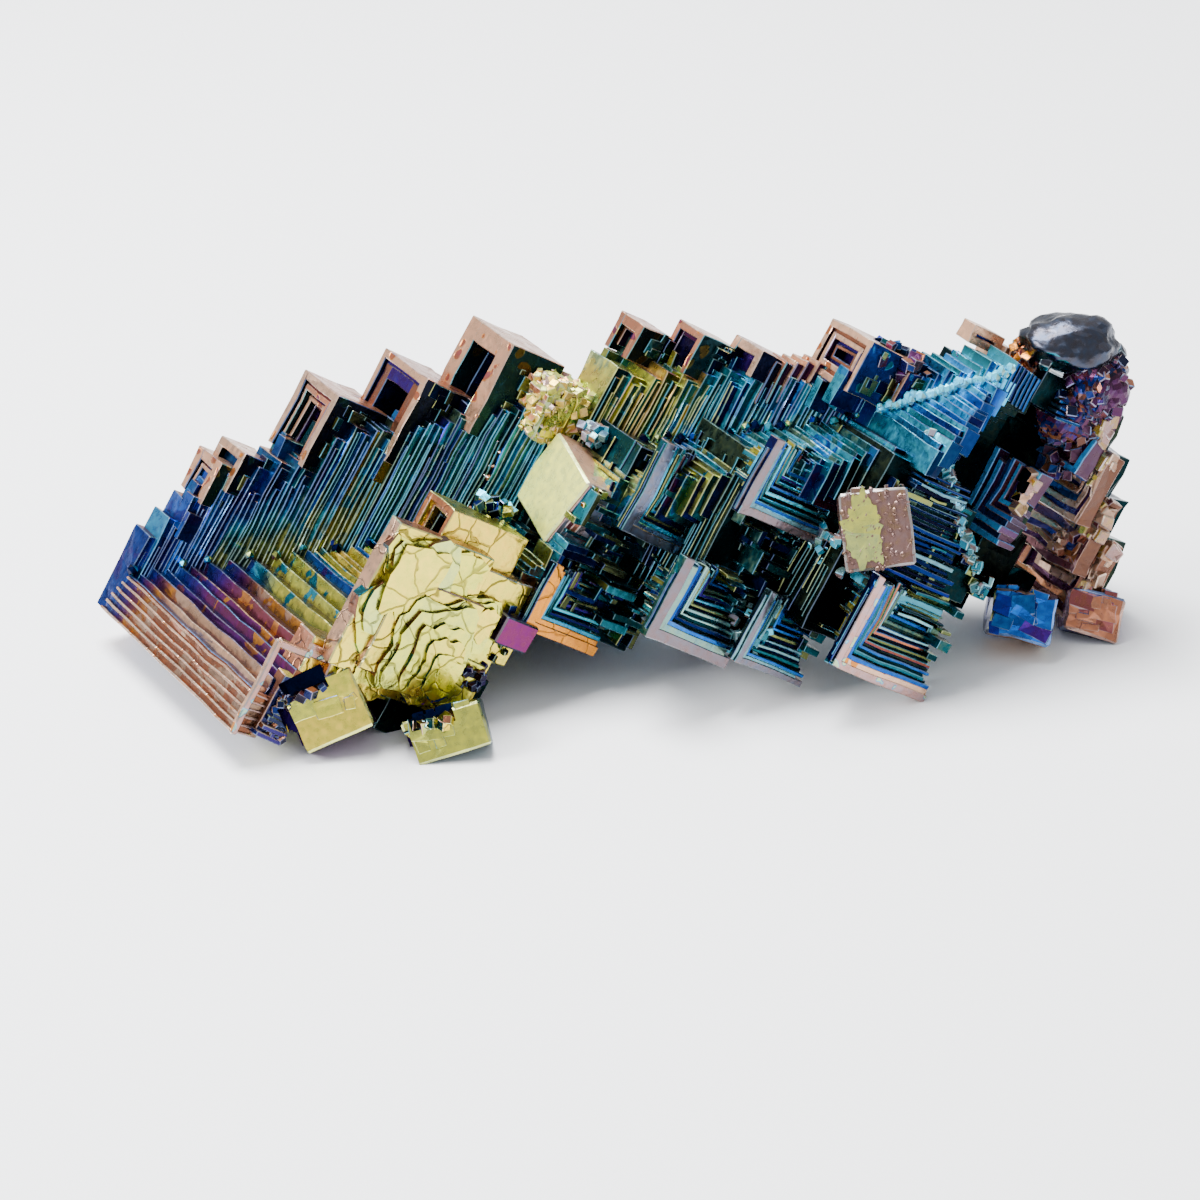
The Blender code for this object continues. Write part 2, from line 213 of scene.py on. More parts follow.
floor_zone = new_zone(
    left=[(-1.0, (COPPER, ROSE), 0.4, 0.6), (0.6, (TAN, PURPLE, TAN, 0.30), 0.6, 1.0),
          (1.9, (GOLD, PURPLE, TAN, 0.38, GOLD, PURPLE), 0.7, 1.0),
          (4.2, (PURPLE, COBALT, GOLD, COBALT, ROSE), 0.6, 1.0),
          (6.6, (LIME, COBALT, SKY, LIME), 0.6, 1.0),
          (11.0, (LIME, STRAW, COBALT, LIME), 0.5, 1.0),
          (17.0, (LIME, TEAL, LIME), 0.3, 0.9),
          (23.0, (LIME, CELADON, LIME), 0.5, 1.0), (29.0, (TEAL, CELADON, CYAN), 0.3, 0.9),
          (33.0, (CYAN, TEAL, CYAN), 0.4, 1.0), (38.5, (CYAN, SKY, CYAN, CYAN), 0.6, 1.0)],
    front=[(0.0, (NAVY, COPPER, TEAL), 0.2, 0.6), (23.0, (TEAL, NAVY), 0.08, 0.4)],
    top=[(0.0, (NAVY, PURPLE, COBALT), 0.15, 0.6), (8.0, (TEAL, LIME, TEAL), 0.08, 0.5),
         (31.0, (TEAL, CYAN), 0.1, 0.6), (39.0, (NAVY, COBALT), 0.1, 0.4)],
    edge=0.8, spread=0.02, mottle=0.8, patch=0.8, near_spine=(COBALT, 0.6, 0.0, 6.0, -9.0, 7.0))

# The feather's fins are painted from dark to brighter than full, painted light and shade, and near_spine
# paints a bright highlight along its spine.
feather_wing_zone = new_zone(
    left=((COBALT, SKY, TEAL, NAVY), 0.15, 0.8), front=((COBALT, TEAL, NAVY), 0.1, 0.5),
    top=((COBALT, CYAN), 0.3, 0.8), edge=0.8, mottle=0.8, near_spine=(CYAN, 1.15, 0.2, 2.4, 36.0, FAR))
feather_zone = new_zone(
    left=((CYAN, SKY, CYAN, SKY, COBALT, NAVY), 0.3, 1.2), front=((COBALT, NAVY), 0.03, 0.2),
    top=((NAVY, COBALT), 0.1, 0.4), edge=0.9, mottle=0.6, near_spine=(CYAN, 1.15, 0.2, 2.4, 36.0, FAR))
# The roots are painted near-black, as shade.
root_zone = new_zone(left=((TEAL, NAVY), 0.02, 0.2), front=((TEAL,), 0.01, 0.06),
                     top=((TEAL, CYAN), 0.05, 0.3), edge=0.3)
for start, end in SPINES:
    start = Vector(start)
    end = Vector(end)
    r = start.z
    wing_look, floor_look = upper_zone, floor_zone
    if r > FEATHER_FROM:
        wing_look, floor_look = feather_wing_zone, feather_zone
    while r < end.z:
        corner = start.lerp(end, (r - start.z) / (end.z - start.z))
        p, q = corner.x, corner.y
        thickness = along(WING_THICKNESSES, r)
        top = along(UPPER_WING_TOPS, r) + sizes.uniform(-1.3, 0.4)
        front = along(FLOOR_FRONTS, r) + sizes.uniform(-0.6, 0.3)
        below = along(BACK_WING_ENDS, r) + sizes.uniform(-1.0, 0.3)
        low = p - (FLOOR_THICKNESS if r < FEATHER_FROM else THIN_FLOOR) + sizes.uniform(0.0, 0.05)
        inner = q - thickness + sizes.uniform(0.0, 0.05)
        back = r + thickness + sizes.uniform(-0.2, 0.0)
        if r > FEATHER_FROM:
            back = r + FEATHER_DEPTH
            below = r + FEATHER_KEEL
        uneven = sizes.uniform(-UNEVENNESS, UNEVENNESS)
        # The small offsets keep the faces of neighbours out of one plane.
        grow_block((low, top, inner, q + uneven, r, back), wing_look)
        grow_block((low + 0.03, p - uneven, inner + 0.04, front, r + 0.02, back - 0.05), floor_look)
        grow_block((low + 0.06, p - 0.2, inner + 0.07, q - 0.2, r + 0.05, below),
                   floor_zone if r < FEATHER_FROM else root_zone)
        for from_r, least, most in LAYER_GAPS:
            if r >= from_r:
                gap = sizes.uniform(least, most)
        # Between two layers stand thinner fins of the upper wing alone.
        for part in range(1, int(gap / WING_GAP) + 1 if r < FEATHER_FROM else 1):
            place = r + WING_GAP * part
            grow_block((p - 1.0, top - sizes.uniform(0.0, 3.0), q - 1.6,
                        q + sizes.uniform(0.05, 0.3) * part, place, place + 1.0), wing_look)
        r += gap

# The left end of the floor is a stack of thin pink rims with brown grooves between them, closed in front by
# a thin upright rim.
END_RIMS = 6
END_RIM_PITCH = 0.72
END_RIM_THICKNESS = 0.22
end_rim_zone = new_zone(
    left=((TAN, PEARL_PINK, TAN), 0.7, 0.95), front=((PEARL_PINK,), 0.6, 0.8),
    top=((TAN, COPPER), 0.5, 0.8), edge=0.85, mottle=1.0, spots=0.9, matte=0.1)
for index in range(END_RIMS):
    p = -FLOOR_THICKNESS + 0.1 + index * END_RIM_PITCH
    grow_block((p, p + END_RIM_THICKNESS, -1.5 + index * 0.3, 25.9, -0.32 + index * 0.03, 2.0),
               end_rim_zone)
for sides in ((-4.2, 4.6, 25.6, 26.2, -0.4, 0.2), (4.0, 4.7, 25.4, 26.1, 0.0, 3.4),
              (4.2, 5.4, 25.4, 26.2, 3.0, 5.6)):
    grow_block(sides, end_rim_zone, bevel=0.12)

# ---------------------------------------------------------------------------------------------------------
# The masses. Behind the terraces the skeleton has filled in solid. They are painted near-black, as the shade
# in the gaps between the hoppers, and are crossed by thin shelves and standing fins.
MASSES = (
    (11.0, 30.0, 10.5, 18.2, 22.6, 27.5),
    (14.5, 31.8, 17.8, 25.6, 24.2, 33.0),
    (19.0, 36.0, 22.0, 32.4, 30.5, 41.5),
    (24.6, 41.6, 27.5, 38.8, 38.4, 47.0),
    (31.4, 48.6, 25.5, 33.6, 45.0, 56.4),
)
painted_shade_zone = new_zone(
    left=((TEAL, TEAL, NAVY), 0.02, 0.22),
    front=((TEAL,), 0.01, 0.07),
    top=((TEAL, CYAN, COBALT), 0.05, 0.3), edge=0.35)
for sides in MASSES:
    grow_block(sides, painted_shade_zone)

shelf_zone = new_zone(
    left=((TEAL, CYAN, LIME, NAVY), 0.1, 0.8),
    front=((TEAL, NAVY, TEAL, TEAL, CELADON), 0.03, 0.4),
    top=((CYAN, TEAL, CELADON), 0.2, 0.9), edge=0.8, mottle=1.5)
# Ridges run up the left sides of the masses.
for p0, p1, q0, q1, r0, r1 in MASSES[1:4]:
    q = q0 + 2.0
    while q < q1 - 0.2:
        low = sizes.uniform(p0, p0 + 4.0)
        grow_block((low, sizes.uniform(low + 4.0, p1 + 0.2), q, q + sizes.uniform(0.14, 0.3),
                    r0 - sizes.uniform(0.1, 0.45), r0 + 1.0), shelf_zone, bevel=0.05)
        q += sizes.uniform(0.4, 0.6)

# The rear of the last mass is a hopper as well, cut in wide flat steps.
cut = bpy.data.collections.new("hollows")
REAR_STEPS = 6
p0, p1, q0, q1, r0, r1 = MASSES[-1]
for step in range(REAR_STEPS):
    inset = 0.9 + step * 1.05
    grow_block((p0 + inset, p1 - inset, q0 - 2.5, q0 + 0.7 + step * 0.5, r0 + inset * 0.8,
                r1 - inset * 0.8), shelf_zone, bevel=0.0, collection=cut)

# (p0, p1, q from, q to, r0, r1, shelves, fins)
SHELF_REGIONS = (
    (14.0, 20.5, 17.8, 20.6, 20.0, 27.0, 40, 16), (13.5, 27.5, 24.6, 27.4, 20.5, 27.0, 40, 16),
    (15.0, 31.5, 25.0, 28.6, 24.4, 33.0, 50, 22), (19.5, 35.5, 31.6, 35.6, 30.6, 41.4, 60, 26),
    (25.0, 41.2, 37.8, 40.8, 38.6, 50.0, 46, 14), (31.0, 40.0, 33.0, 35.6, 50.0, 56.0, 30, 10),
)
for p0, p1, q0, q1, r0, r1, shelves, fins in SHELF_REGIONS:
    for _ in range(shelves):
        wide = sizes.uniform(0.8, 4.0)
        high = sizes.uniform(0.18, 0.7)
        p = sizes.uniform(p0, p1 - high)
        r = sizes.uniform(r0, max(r0 + 0.1, r1 - wide))
        grow_block((p, p + high, q0 - 1.5, sizes.uniform(q0, q1), r, min(r + wide, r1)), shelf_zone,
                   bevel=0.05)
    for _ in range(fins):
        tall = sizes.uniform(1.0, 3.6)
        wide = sizes.uniform(0.2, 0.6)
        p = sizes.uniform(p0, p1 - tall)
        r = sizes.uniform(r0, r1 - wide)
        grow_block((p, p + tall, q0 - 1.5, sizes.uniform(q0, q1), r, r + wide), shelf_zone, bevel=0.05)

# ---------------------------------------------------------------------------------------------------------
# The hopper cubes on the upper wing and at the right end. Their edges grew faster than the middles of
# their left faces, which are nested rims of copper and tan around a purple hollow.


def grow_hopper(sides, axis, outward, borders, rings, hollow, shell=FAR):
    """A block whose one face is nested rims: rings of (width, depth, zone), then the hollow's depth, zone.

    The face looks outward (+1 or -1) along axis. The borders (axis, end) are the sides that have rims; on
    the others the terraces run out to ragged ends. A rim is as thick as the shell, or as the block.
    """
    low = list(sides[0::2])
    high = list(sides[1::2])

    def wall(wall_low, wall_high, depth, zone):
        wall_low, wall_high = wall_low[:], wall_high[:]
        if outward > 0:
            wall_high[axis] -= depth
            wall_low[axis] = max(wall_low[axis], wall_high[axis] - shell)
        else:
            wall_low[axis] += depth
            wall_high[axis] = min(wall_high[axis], wall_low[axis] + shell)
        grow_block([side for pair in zip(wall_low, wall_high) for side in pair], zone)

    for index, (width, depth, zone) in enumerate(rings):
        width *= sizes.uniform(0.8, 1.2)
        depth += sizes.uniform(-0.06, 0.06)
        for border_axis, end in borders:
            wall_low, wall_high = low[:], high[:]
            if end < 0:
                wall_high[border_axis] = low[border_axis] + width + sizes.uniform(0.02, 0.1)
            else:
                wall_low[border_axis] = high[border_axis] - width - sizes.uniform(0.02, 0.1)
            for open_axis in range(3):
                if open_axis in (axis, border_axis) or index == 0:
                    continue
                if (open_axis, -1) not in borders:
                    wall_low[open_axis] += sizes.uniform(0.0, 0.9)
                if (open_axis, 1) not in borders:
                    wall_high[open_axis] -= sizes.uniform(0.0, 0.9)
            wall(wall_low, wall_high, depth + sizes.uniform(0.0, 0.05), zone)
        for border_axis, end in borders:
            if end < 0:
                low[border_axis] += width
            else:
                high[border_axis] -= width
    wall(low, high, *hollow)


cap_zone = new_zone(
    left=[(-9.0, (TAN, COPPER, TAN), 0.75, 0.95), (34.0, (COPPER, TAN), 0.7, 1.0)],
    front=[(-9.0, (NAVY, TEAL), 0.02, 0.10), (34.0, (VIOLET, NAVY, PURPLE), 0.1, 0.5)],
    top=((TAN, COPPER), 0.7, 1.0), edge=0.95, mottle=1.2, spots=1.0, matte=0.12)
groove_zone = new_zone(
    left=[(-9.0, (ROSE, PURPLE, ROSE), 0.3, 0.7), (9.5, (PURPLE, VIOLET, COPPER), 0.4, 0.9)],
    front=((PURPLE, VIOLET, NAVY), 0.1, 0.5),
    top=((VIOLET, NAVY, ROSE), 0.15, 0.5), edge=0.7, mottle=1.5)
blue_hollow_zone = new_zone(
    left=((NAVY, COBALT, VIOLET), 0.1, 0.6), front=((NAVY, COBALT), 0.05, 0.4),
    top=((NAVY, TEAL), 0.1, 0.4), edge=0.6, mottle=1.8)
ARCH = ((P, 1), (Q, -1), (Q, 1))
FOUR_SIDES = ((P, 1), (Q, -1), (Q, 1), (P, -1))
TWO_RIMS = ((0.75, 0.0, cap_zone), (0.3, 0.4, groove_zone), (0.45, 0.15, cap_zone))
THREE_RIMS = (*TWO_RIMS, (0.3, 0.8, groove_zone), (0.4, 0.6, cap_zone), (0.3, 1.2, groove_zone))
PURPLE_RIMS = ((0.6, 0.0, cap_zone), (0.35, 0.4, groove_zone), (0.4, 0.2, cap_zone),
               (0.35, 0.7, groove_zone), (0.35, 0.5, groove_zone))
LEFT_HOPPERS = (
    ((8.5, 12.6, -2.3, 2.3, 1.9, 5.2), ARCH, TWO_RIMS, (1.4, groove_zone)),
    ((10.5, 14.3, -1.4, 3.2, 2.9, 6.4), ARCH, TWO_RIMS[:1], (0.8, cap_zone)),
    ((15.6, 22.8, -0.3, 6.4, 6.7, 12.4), ARCH, THREE_RIMS, (2.6, groove_zone)),
    ((19.6, 27.7, 2.4, 10.4, 11.4, 16.9), ARCH, (*TWO_RIMS[:2], (0.9, 0.3, groove_zone)),
     (2.8, blue_hollow_zone)),
    ((25.2, 34.0, 5.9, 13.8, 15.6, 21.6), ARCH, ((1.9, 0.0, cap_zone), (0.5, 1.6, blue_hollow_zone)),
     (3.2, blue_hollow_zone)),
    ((44.0, 48.9, 25.2, 31.8, 36.2, 42.4), FOUR_SIDES, PURPLE_RIMS[:5], (1.5, groove_zone)),
    ((45.0, 48.0, 28.0, 33.0, 40.4, 44.6), ARCH, PURPLE_RIMS[:3], (0.9, blue_hollow_zone)),
    ((37.2, 40.6, 13.6, 17.6, 24.2, 28.2), ARCH, TWO_RIMS[:2], (1.2, groove_zone)),
    ((38.6, 42.4, 17.2, 21.4, 27.6, 32.4), ARCH, PURPLE_RIMS[:2], (0.6, blue_hollow_zone)),
    ((41.0, 43.6, 20.6, 25.2, 31.2, 36.4), ARCH, TWO_RIMS[:1], (1.0, groove_zone)),
)
for sides, borders, rings, hollow in LEFT_HOPPERS:
    grow_hopper(sides, R, -1, borders, rings, hollow)
    p0, p1, q0, q1, r0, r1 = sides
    # Behind its rims each cube's front, painted dark as shade, is stepped.
    for _ in range(int((p1 - p0) * 2.2)):
        p = sizes.uniform(p0, p1 - 1.0)
        r = sizes.uniform(r0 + 0.8, r1 - 0.8)
        grow_block((p, p + sizes.uniform(0.4, 1.6), q1 - 1.0, q1 + sizes.uniform(0.05, 0.45), r,
                    min(r1 - 0.1, r + sizes.uniform(0.3, 1.8))), shelf_zone, bevel=0.05)
    # Little steps crowd around its foot.
    for _ in range(int((p1 - p0) * 1.6)):
        p = p0 + sizes.uniform(-1.8, 0.6)
        q = sizes.uniform(q0, q1)
        r = r0 + sizes.uniform(-0.6, 1.2)
        side = sizes.uniform(0.5, 1.6)
        grow_block((p - 2.0, p + side, q - side / 2, q + side / 2, r, r + side + 1.0), upper_zone,
                   bevel=0.05)

# Copper teeth stand in a row along the wing's crest.
TEETH = 7
for index in range(TEETH):
    p = 42.2 + index * 0.42
    q = 24.2 + index * 0.42
    r = 33.0 + index * 0.72
    grow_block((p - 3.0, p + 1.1, q - 1.4, q + 1.2, r, r + 1.3), cap_zone, bevel=0.1)

# ---------------------------------------------------------------------------------------------------------
# The hopper squares of the front: an upper row of two, then a lower row of four. Each is an open corner of
# L-shaped terraces that step back into near-black painted shade, framed by a pearly rim on its left and
# lower sides.
pearl_zone = new_zone(
    left=((TEAL, PEARL_CYAN, NAVY), 0.1, 0.5),
    front=[(0.0, (PEARL_GREY, PEARL_PINK), 0.5, 0.7), (24.5, (PEARL_GREY, 1.1), 0.4, 0.65)],
    top=((ROSE, PEARL_PINK), 0.3, 0.6), edge=0.9, mottle=2.3, patch=0.0)
gold_pearl_zone = new_zone(
    left=((NAVY, PURPLE), 0.1, 0.3),
    front=((GOLD, STRAW), 0.9, 1.0),
    top=((GOLD, ROSE), 0.4, 0.6), edge=0.95, mottle=1.3, vein=0.5)
copper_pearl_zone = new_zone(
    left=((TEAL, NAVY), 0.05, 0.25),
    front=((TAN, PEARL_PINK), 0.85, 1.0),
    top=((TAN, COPPER), 0.5, 0.8), edge=0.95, mottle=0.8, spots=1.0)
# The lines in the squares' hollows are painted dark as shade and bright as highlights, by turns.
dark_line_zone = new_zone(
    left=((NAVY, TEAL), 0.03, 0.15),
    front=((NAVY, TEAL, TEAL), 0.01, 0.08),
    top=((TEAL, NAVY), 0.05, 0.2), edge=0.35, mottle=1.5)
bright_line_zone = new_zone(
    left=((COBALT, PEARL_CYAN, TEAL), 0.2, 0.7),
    front=((COBALT, VIOLET, PEARL_CYAN, CYAN, ROSE), 0.4, 0.95),
    top=((COBALT, CYAN, PEARL_CYAN), 0.3, 0.9), edge=0.95, mottle=2.0)
blue_pearl_zone = new_zone(
    left=((COBALT, PEARL_BLUE), 0.2, 0.7),
    front=((PEARL_BLUE, PEARL_GREY, PEARL_CYAN), 0.4, 0.8),
    top=((PEARL_BLUE, CYAN), 0.3, 0.8), edge=0.95, mottle=2.6)
LEFT_AND_LOW = ((P, -1), (R, -1))


def square_rims(frame_width, frame_zone, inner_zone, lines):
    """A pearly frame, then lines painted bright and dark, highlight and shade, that step down into the
    hollow.
    """
    rims = [(frame_width * 0.5, 0.0, frame_zone), (frame_width * 0.3, 0.1, inner_zone),
            (frame_width * 0.2, 0.2, bright_line_zone), (0.26, 0.7, dark_line_zone)]
    for line in range(lines):
        depth = 0.45 + line * 0.33
        rims.append((0.25, depth, bright_line_zone if line % 3 else shelf_zone))
        rims.append((0.28, depth + 0.5, dark_line_zone))
    return rims


# (sides, frame width, frame's outer and inner zone, lines, hollow's depth)
SQUARES = (
    ((24.8, 33.5, 23.6, 29.2, 23.8, 34.6), 1.7, pearl_zone, blue_pearl_zone, 9, 3.6),
    ((31.3, 38.4, 30.4, 36.2, 28.4, 38.8), 1.3, pearl_zone, blue_pearl_zone, 8, 3.4),
    ((13.6, 20.0, 22.6, 28.2, 20.0, 28.2), 1.5, gold_pearl_zone, gold_pearl_zone, 6, 3.0),
    ((18.4, 26.0, 29.6, 36.6, 25.6, 34.9), 2.2, pearl_zone, blue_pearl_zone, 8, 3.5),
    ((19.6, 26.4, 31.4, 38.2, 34.2, 42.0), 1.2, pearl_zone, blue_pearl_zone, 8, 3.4),
    ((23.4, 32.2, 36.4, 44.2, 39.0, 50.2), 1.5, copper_pearl_zone, copper_pearl_zone, 9, 3.6),
)
SKIRT_STEP = 0.40
SKIRT_DEPTH = 0.75
SKIRT_WIDTH = 0.7
SIDE_STEPS = 40
RAGGED_STEPS = 14
for sides, width, frame_zone, inner_zone, lines, depth in SQUARES:
    p0, p1, q0, q1, r0, r1 = sides
    grow_hopper((p0, p1, q1 - depth - 0.6, q1, r0, r1), Q, 1, LEFT_AND_LOW,
                square_rims(width, frame_zone, inner_zone, lines), (depth, shelf_zone), shell=1.2)
    # Behind its frame the cube steps in, terrace by terrace.
    steps = int((q1 - q0 - 1.0) / SKIRT_DEPTH)
    for step in range(1, steps + 1):
        inset = SKIRT_STEP * step
        front = q1 - SKIRT_DEPTH * step - 0.2
        left = r0 + inset * 1.3
        # Every other step is painted near-black, as shade.
        zone = painted_shade_zone if step % 2 else shelf_zone
        back = q0 if step == steps else front - SKIRT_DEPTH - 0.05
        if front < q1 - depth:
            grow_block((p0 + inset, p1 - inset, back, front, left, r1 - inset), zone)
            continue
        # Beside the hollow a step is only a strip.
        grow_block((p0 + inset, p1 - inset, back, front, left, left + SKIRT_WIDTH), zone)
        grow_block((p0 + inset, p0 + inset + SKIRT_WIDTH, back, front, left, r1 - inset), zone)
    # Ridges run up its left side.
    for step in range(steps):
        inset = SKIRT_STEP * step
        for place in (0.35, 0.6):
            q = q1 - SKIRT_DEPTH * (step + place)
            r = r0 + inset * 1.3 - sizes.uniform(0.1, 0.3)
            grow_block((p0 + inset + sizes.uniform(-0.1, 0.8), p1 - inset - sizes.uniform(0.0, 2.0),
                        q - 0.16, q + sizes.uniform(-0.03, 0.05), r, r + 1.2),
                       sizes.choice((bright_line_zone, shelf_zone, blue_pearl_zone)), bevel=0.05)
    # Thin shelves cross its hollow: some painted dark as shade, some with lips painted bright as highlights.
    shelf_p = p0 + width + lines * 0.5
    while shelf_p < p1 - 0.4:
        reach = depth - sizes.uniform(0.6, 2.2)
        shelf_r = r0 + width + lines * 0.5 + sizes.uniform(-0.4, 0.8)
        grow_block((shelf_p, shelf_p + sizes.uniform(0.14, 0.34), q1 - depth - 1.0, q1 - reach, shelf_r,
                    r1 - sizes.uniform(0.0, 1.6)), sizes.choice((shelf_zone, bright_line_zone)), bevel=0.05)
        shelf_p += sizes.uniform(0.4, 0.75)
    # Thin steps crowd its left side.
    for _ in range(SIDE_STEPS):
        q = sizes.uniform(q0 + 0.5, q1 - 1.2)
        setback = (q1 - q) / SKIRT_DEPTH * SKIRT_STEP
        p = sizes.uniform(p0 + setback, p1 - setback - 0.6)
        tall = sizes.choice((0.2, 0.3, 0.5, 1.5, 2.6))
        deep = sizes.uniform(0.2, 0.5) if tall > 1.0 else sizes.uniform(0.8, 2.4)
        start = r0 + setback * 1.3 - sizes.uniform(0.2, 0.7)
        grow_block((p, min(p + tall, p1 - setback), q - deep, q, start, start + 2.5), shelf_zone,
                   bevel=0.06)
    # Its open right side is ragged.
    for _ in range(RAGGED_STEPS):
        p = sizes.uniform(p0 + 0.4, p1 - 0.8)
        r = r1 - sizes.uniform(0.6, 1.6)
        grow_block((p, p + sizes.uniform(0.3, 1.0), q1 - depth, q1 - sizes.uniform(0.2, depth - 0.5), r,
                    r + sizes.uniform(0.6, 1.8)), shelf_zone, bevel=0.05)

# ---------------------------------------------------------------------------------------------------------
# The front slabs: pale yellow-green plates that close the left trough, stacked like contours on a map, and
# the hopper with an orange rim that stands up behind them.
slab_zone = new_zone(
    left=[(0.0, (COPPER, TAN, LIME), 0.7, 1.0), (9.5, (GOLD, COPPER), 0.8, 1.0),
          (17.5, (LIME, CELADON), 0.7, 1.0)],
    front=((LIME, 0.93, LIME, 0.95), 0.9, 1.0),
    top=((TAN, CELADON, COPPER), 0.5, 0.9), edge=0.9, spread=0.01, mottle=0.35, vein=0.8)
orange_zone = new_zone(
    left=((GOLD, COPPER), 0.8, 1.0), front=((STRAW, LIME), 0.9, 1.0),
    top=((GOLD, LIME, TEAL), 0.4, 0.9), edge=0.95, mottle=0.8, vein=0.6)
druse_zone = new_zone(left=((PURPLE, VIOLET, NAVY, ROSE), 0.15, 0.8),
                      front=((VIOLET, NAVY, PURPLE), 0.05, 0.4),
                      top=((ROSE, PURPLE, COPPER), 0.3, 0.8), edge=0.7, mottle=2.0, matte=0.35)
bead_zone = new_zone(left=((CYAN, CELADON, NAVY), 0.3, 1.0),
                     front=((TEAL, CYAN, CELADON), 0.2, 1.0),
                     top=((CYAN, CELADON), 0.5, 1.0), edge=0.9)
SLABS = (
    (-2.6, 6.0, 22.4, 25.6, 3.2, 9.6), (3.4, 17.0, 25.2, 26.8, 5.0, 20.0),
    (4.6, 18.1, 25.4, 27.4, 4.3, 14.8), (3.0, 16.2, 22.8, 26.2, 9.6, 19.6),
    (9.6, 14.0, 24.0, 26.8, 18.2, 21.4), (5.4, 14.2, 26.0, 28.2, 6.6, 15.4),
    (4.4, 9.4, 26.4, 27.8, 12.2, 18.8), (13.4, 19.4, 16.5, 22.0, 16.2, 19.2),
)
LUMPY_SLABS = ((27.4, 33.0, 11.0, 17.6, 19.0, 23.4), (17.6, 27.8, 11.6, 15.4, 18.6, 23.4))
lumpy_zone = new_zone(
    left=((COPPER, STRAW, PEARL_PINK), 0.6, 1.0), front=((LIME, STRAW, 0.88), 0.8, 1.0),
    top=((LIME, 0.88, COPPER), 0.6, 1.0), edge=0.9, mottle=1.2, matte=0.4)
for sides in LUMPY_SLABS:
    grow_block(sides, lumpy_zone, bevel=0.3)
# Roots painted near-black, as shade, fill the gaps under the slabs and at the right end.
FOOT_ROOTS = ((0.5, 8.0, 22.0, 26.8, 12.0, 20.6), (33.2, 36.6, 31.0, 35.2, 52.6, 63.0),
              (33.2, 39.4, 31.0, 36.4, 54.0, 58.6))
for sides in FOOT_ROOTS:
    grow_block(sides, painted_shade_zone)
for sides in SLABS:
    grow_block(sides, slab_zone, bevel=0.12)
grow_hopper((8.0, 20.4, 20.8, 25.4, 9.8, 18.4), R, -1, ((P, 1), (Q, 1), (Q, -1)),
            ((0.7, 0.0, orange_zone), (0.3, 0.5, orange_zone), (0.35, 1.2, dark_line_zone)),
            (3.4, shelf_zone))

# On the slabs lie thin plates with wandering outlines, each a little smaller and prouder than the last.
# Each is (middle p and r, half height and half width, front q, seed).
CONTOURS = (
    ((12.2, 9.2), (5.6, 4.6), 27.7, 0.0), ((12.9, 8.4), (4.6, 3.4), 28.0, 0.4),
    ((13.8, 7.6), (3.4, 2.4), 28.3, 1.1), ((9.0, 12.2), (4.6, 3.9), 28.5, 1.9),
    ((8.6, 12.6), (4.0, 3.3), 28.8, 2.6), ((8.2, 13.0), (3.4, 2.7), 29.1, 3.1),
    ((7.8, 13.4), (2.8, 2.1), 29.4, 3.7), ((7.4, 13.8), (2.1, 1.5), 29.6, 4.4),
    ((11.8, 15.6), (3.0, 2.6), 27.6, 5.0), ((12.2, 15.9), (2.3, 1.9), 27.9, 5.5),
    ((12.6, 16.2), (1.5, 1.2), 28.2, 6.1), ((5.2, 8.2), (2.2, 2.6), 27.3, 6.7),
    ((5.6, 8.6), (1.5, 1.9), 27.6, 7.2), ((7.0, 17.2), (2.4, 1.8), 27.4, 7.7),
    ((16.2, 11.8), (1.5, 2.4), 27.7, 8.3), ((30.2, 21.2), (2.2, 1.8), 18.0, 9.0),
)
CONTOUR_POINTS = 36
CONTOUR_THICKNESS = 1.2
SQUARENESS = 0.45
WANDER = 0.32
# The plates' thin sides are painted dark, as shade along each step.
contour_zone = new_zone(
    left=((COPPER, LIME, TEAL), 0.10, 0.3),
    front=((LIME, 0.88, LIME, 0.94), 0.9, 1.0),
    top=((TEAL, LIME, TAN), 0.08, 0.3), edge=0.95, spread=0.014, mottle=0.3, vein=0.6)


def grow_plate(points, outline, thickness, matrix, zone):
    """A flat plate: outline says where each point of a unit circle goes, and y is its thickness."""
    shape = bmesh.new()
    bmesh.ops.create_circle(shape, cap_ends=True, segments=points, radius=1.0)
    for vertex in shape.verts:
        vertex.co = outline(vertex.co)
    side = bmesh.ops.extrude_face_region(shape, geom=shape.faces[:])
    raised = [item for item in side["geom"] if isinstance(item, bmesh.types.BMVert)]
    bmesh.ops.translate(shape, verts=raised, vec=(0.0, thickness, 0.0))
    bmesh.ops.transform(shape, matrix=matrix, verts=shape.verts)
    bmesh.ops.recalc_face_normals(shape, faces=shape.faces[:])
    keep_shape(shape, zone, grown)


for middle, half_size, proud, seed in CONTOURS:
    def contour(point):
        """A wandering square with round corners."""
        turn = math.atan2(point.y, point.x)
        corner = (abs(math.cos(turn)) ** 4 + abs(math.sin(turn)) ** 4) ** (-SQUARENESS / 2)
        wander = 1.0 + WANDER * noise.noise(Vector((math.cos(turn) * 2.0, math.sin(turn) * 2.0, seed)))
        wander += 0.1 * noise.noise(Vector((math.cos(turn) * 6.0, math.sin(turn) * 6.0, seed)))
        return Vector((middle[0] + half_size[0] * math.cos(turn) * corner * wander,
                       proud - CONTOUR_THICKNESS,
                       middle[1] + half_size[1] * math.sin(turn) * corner * wander))

    grow_plate(CONTOUR_POINTS, contour, CONTOUR_THICKNESS, lattice, contour_zone)

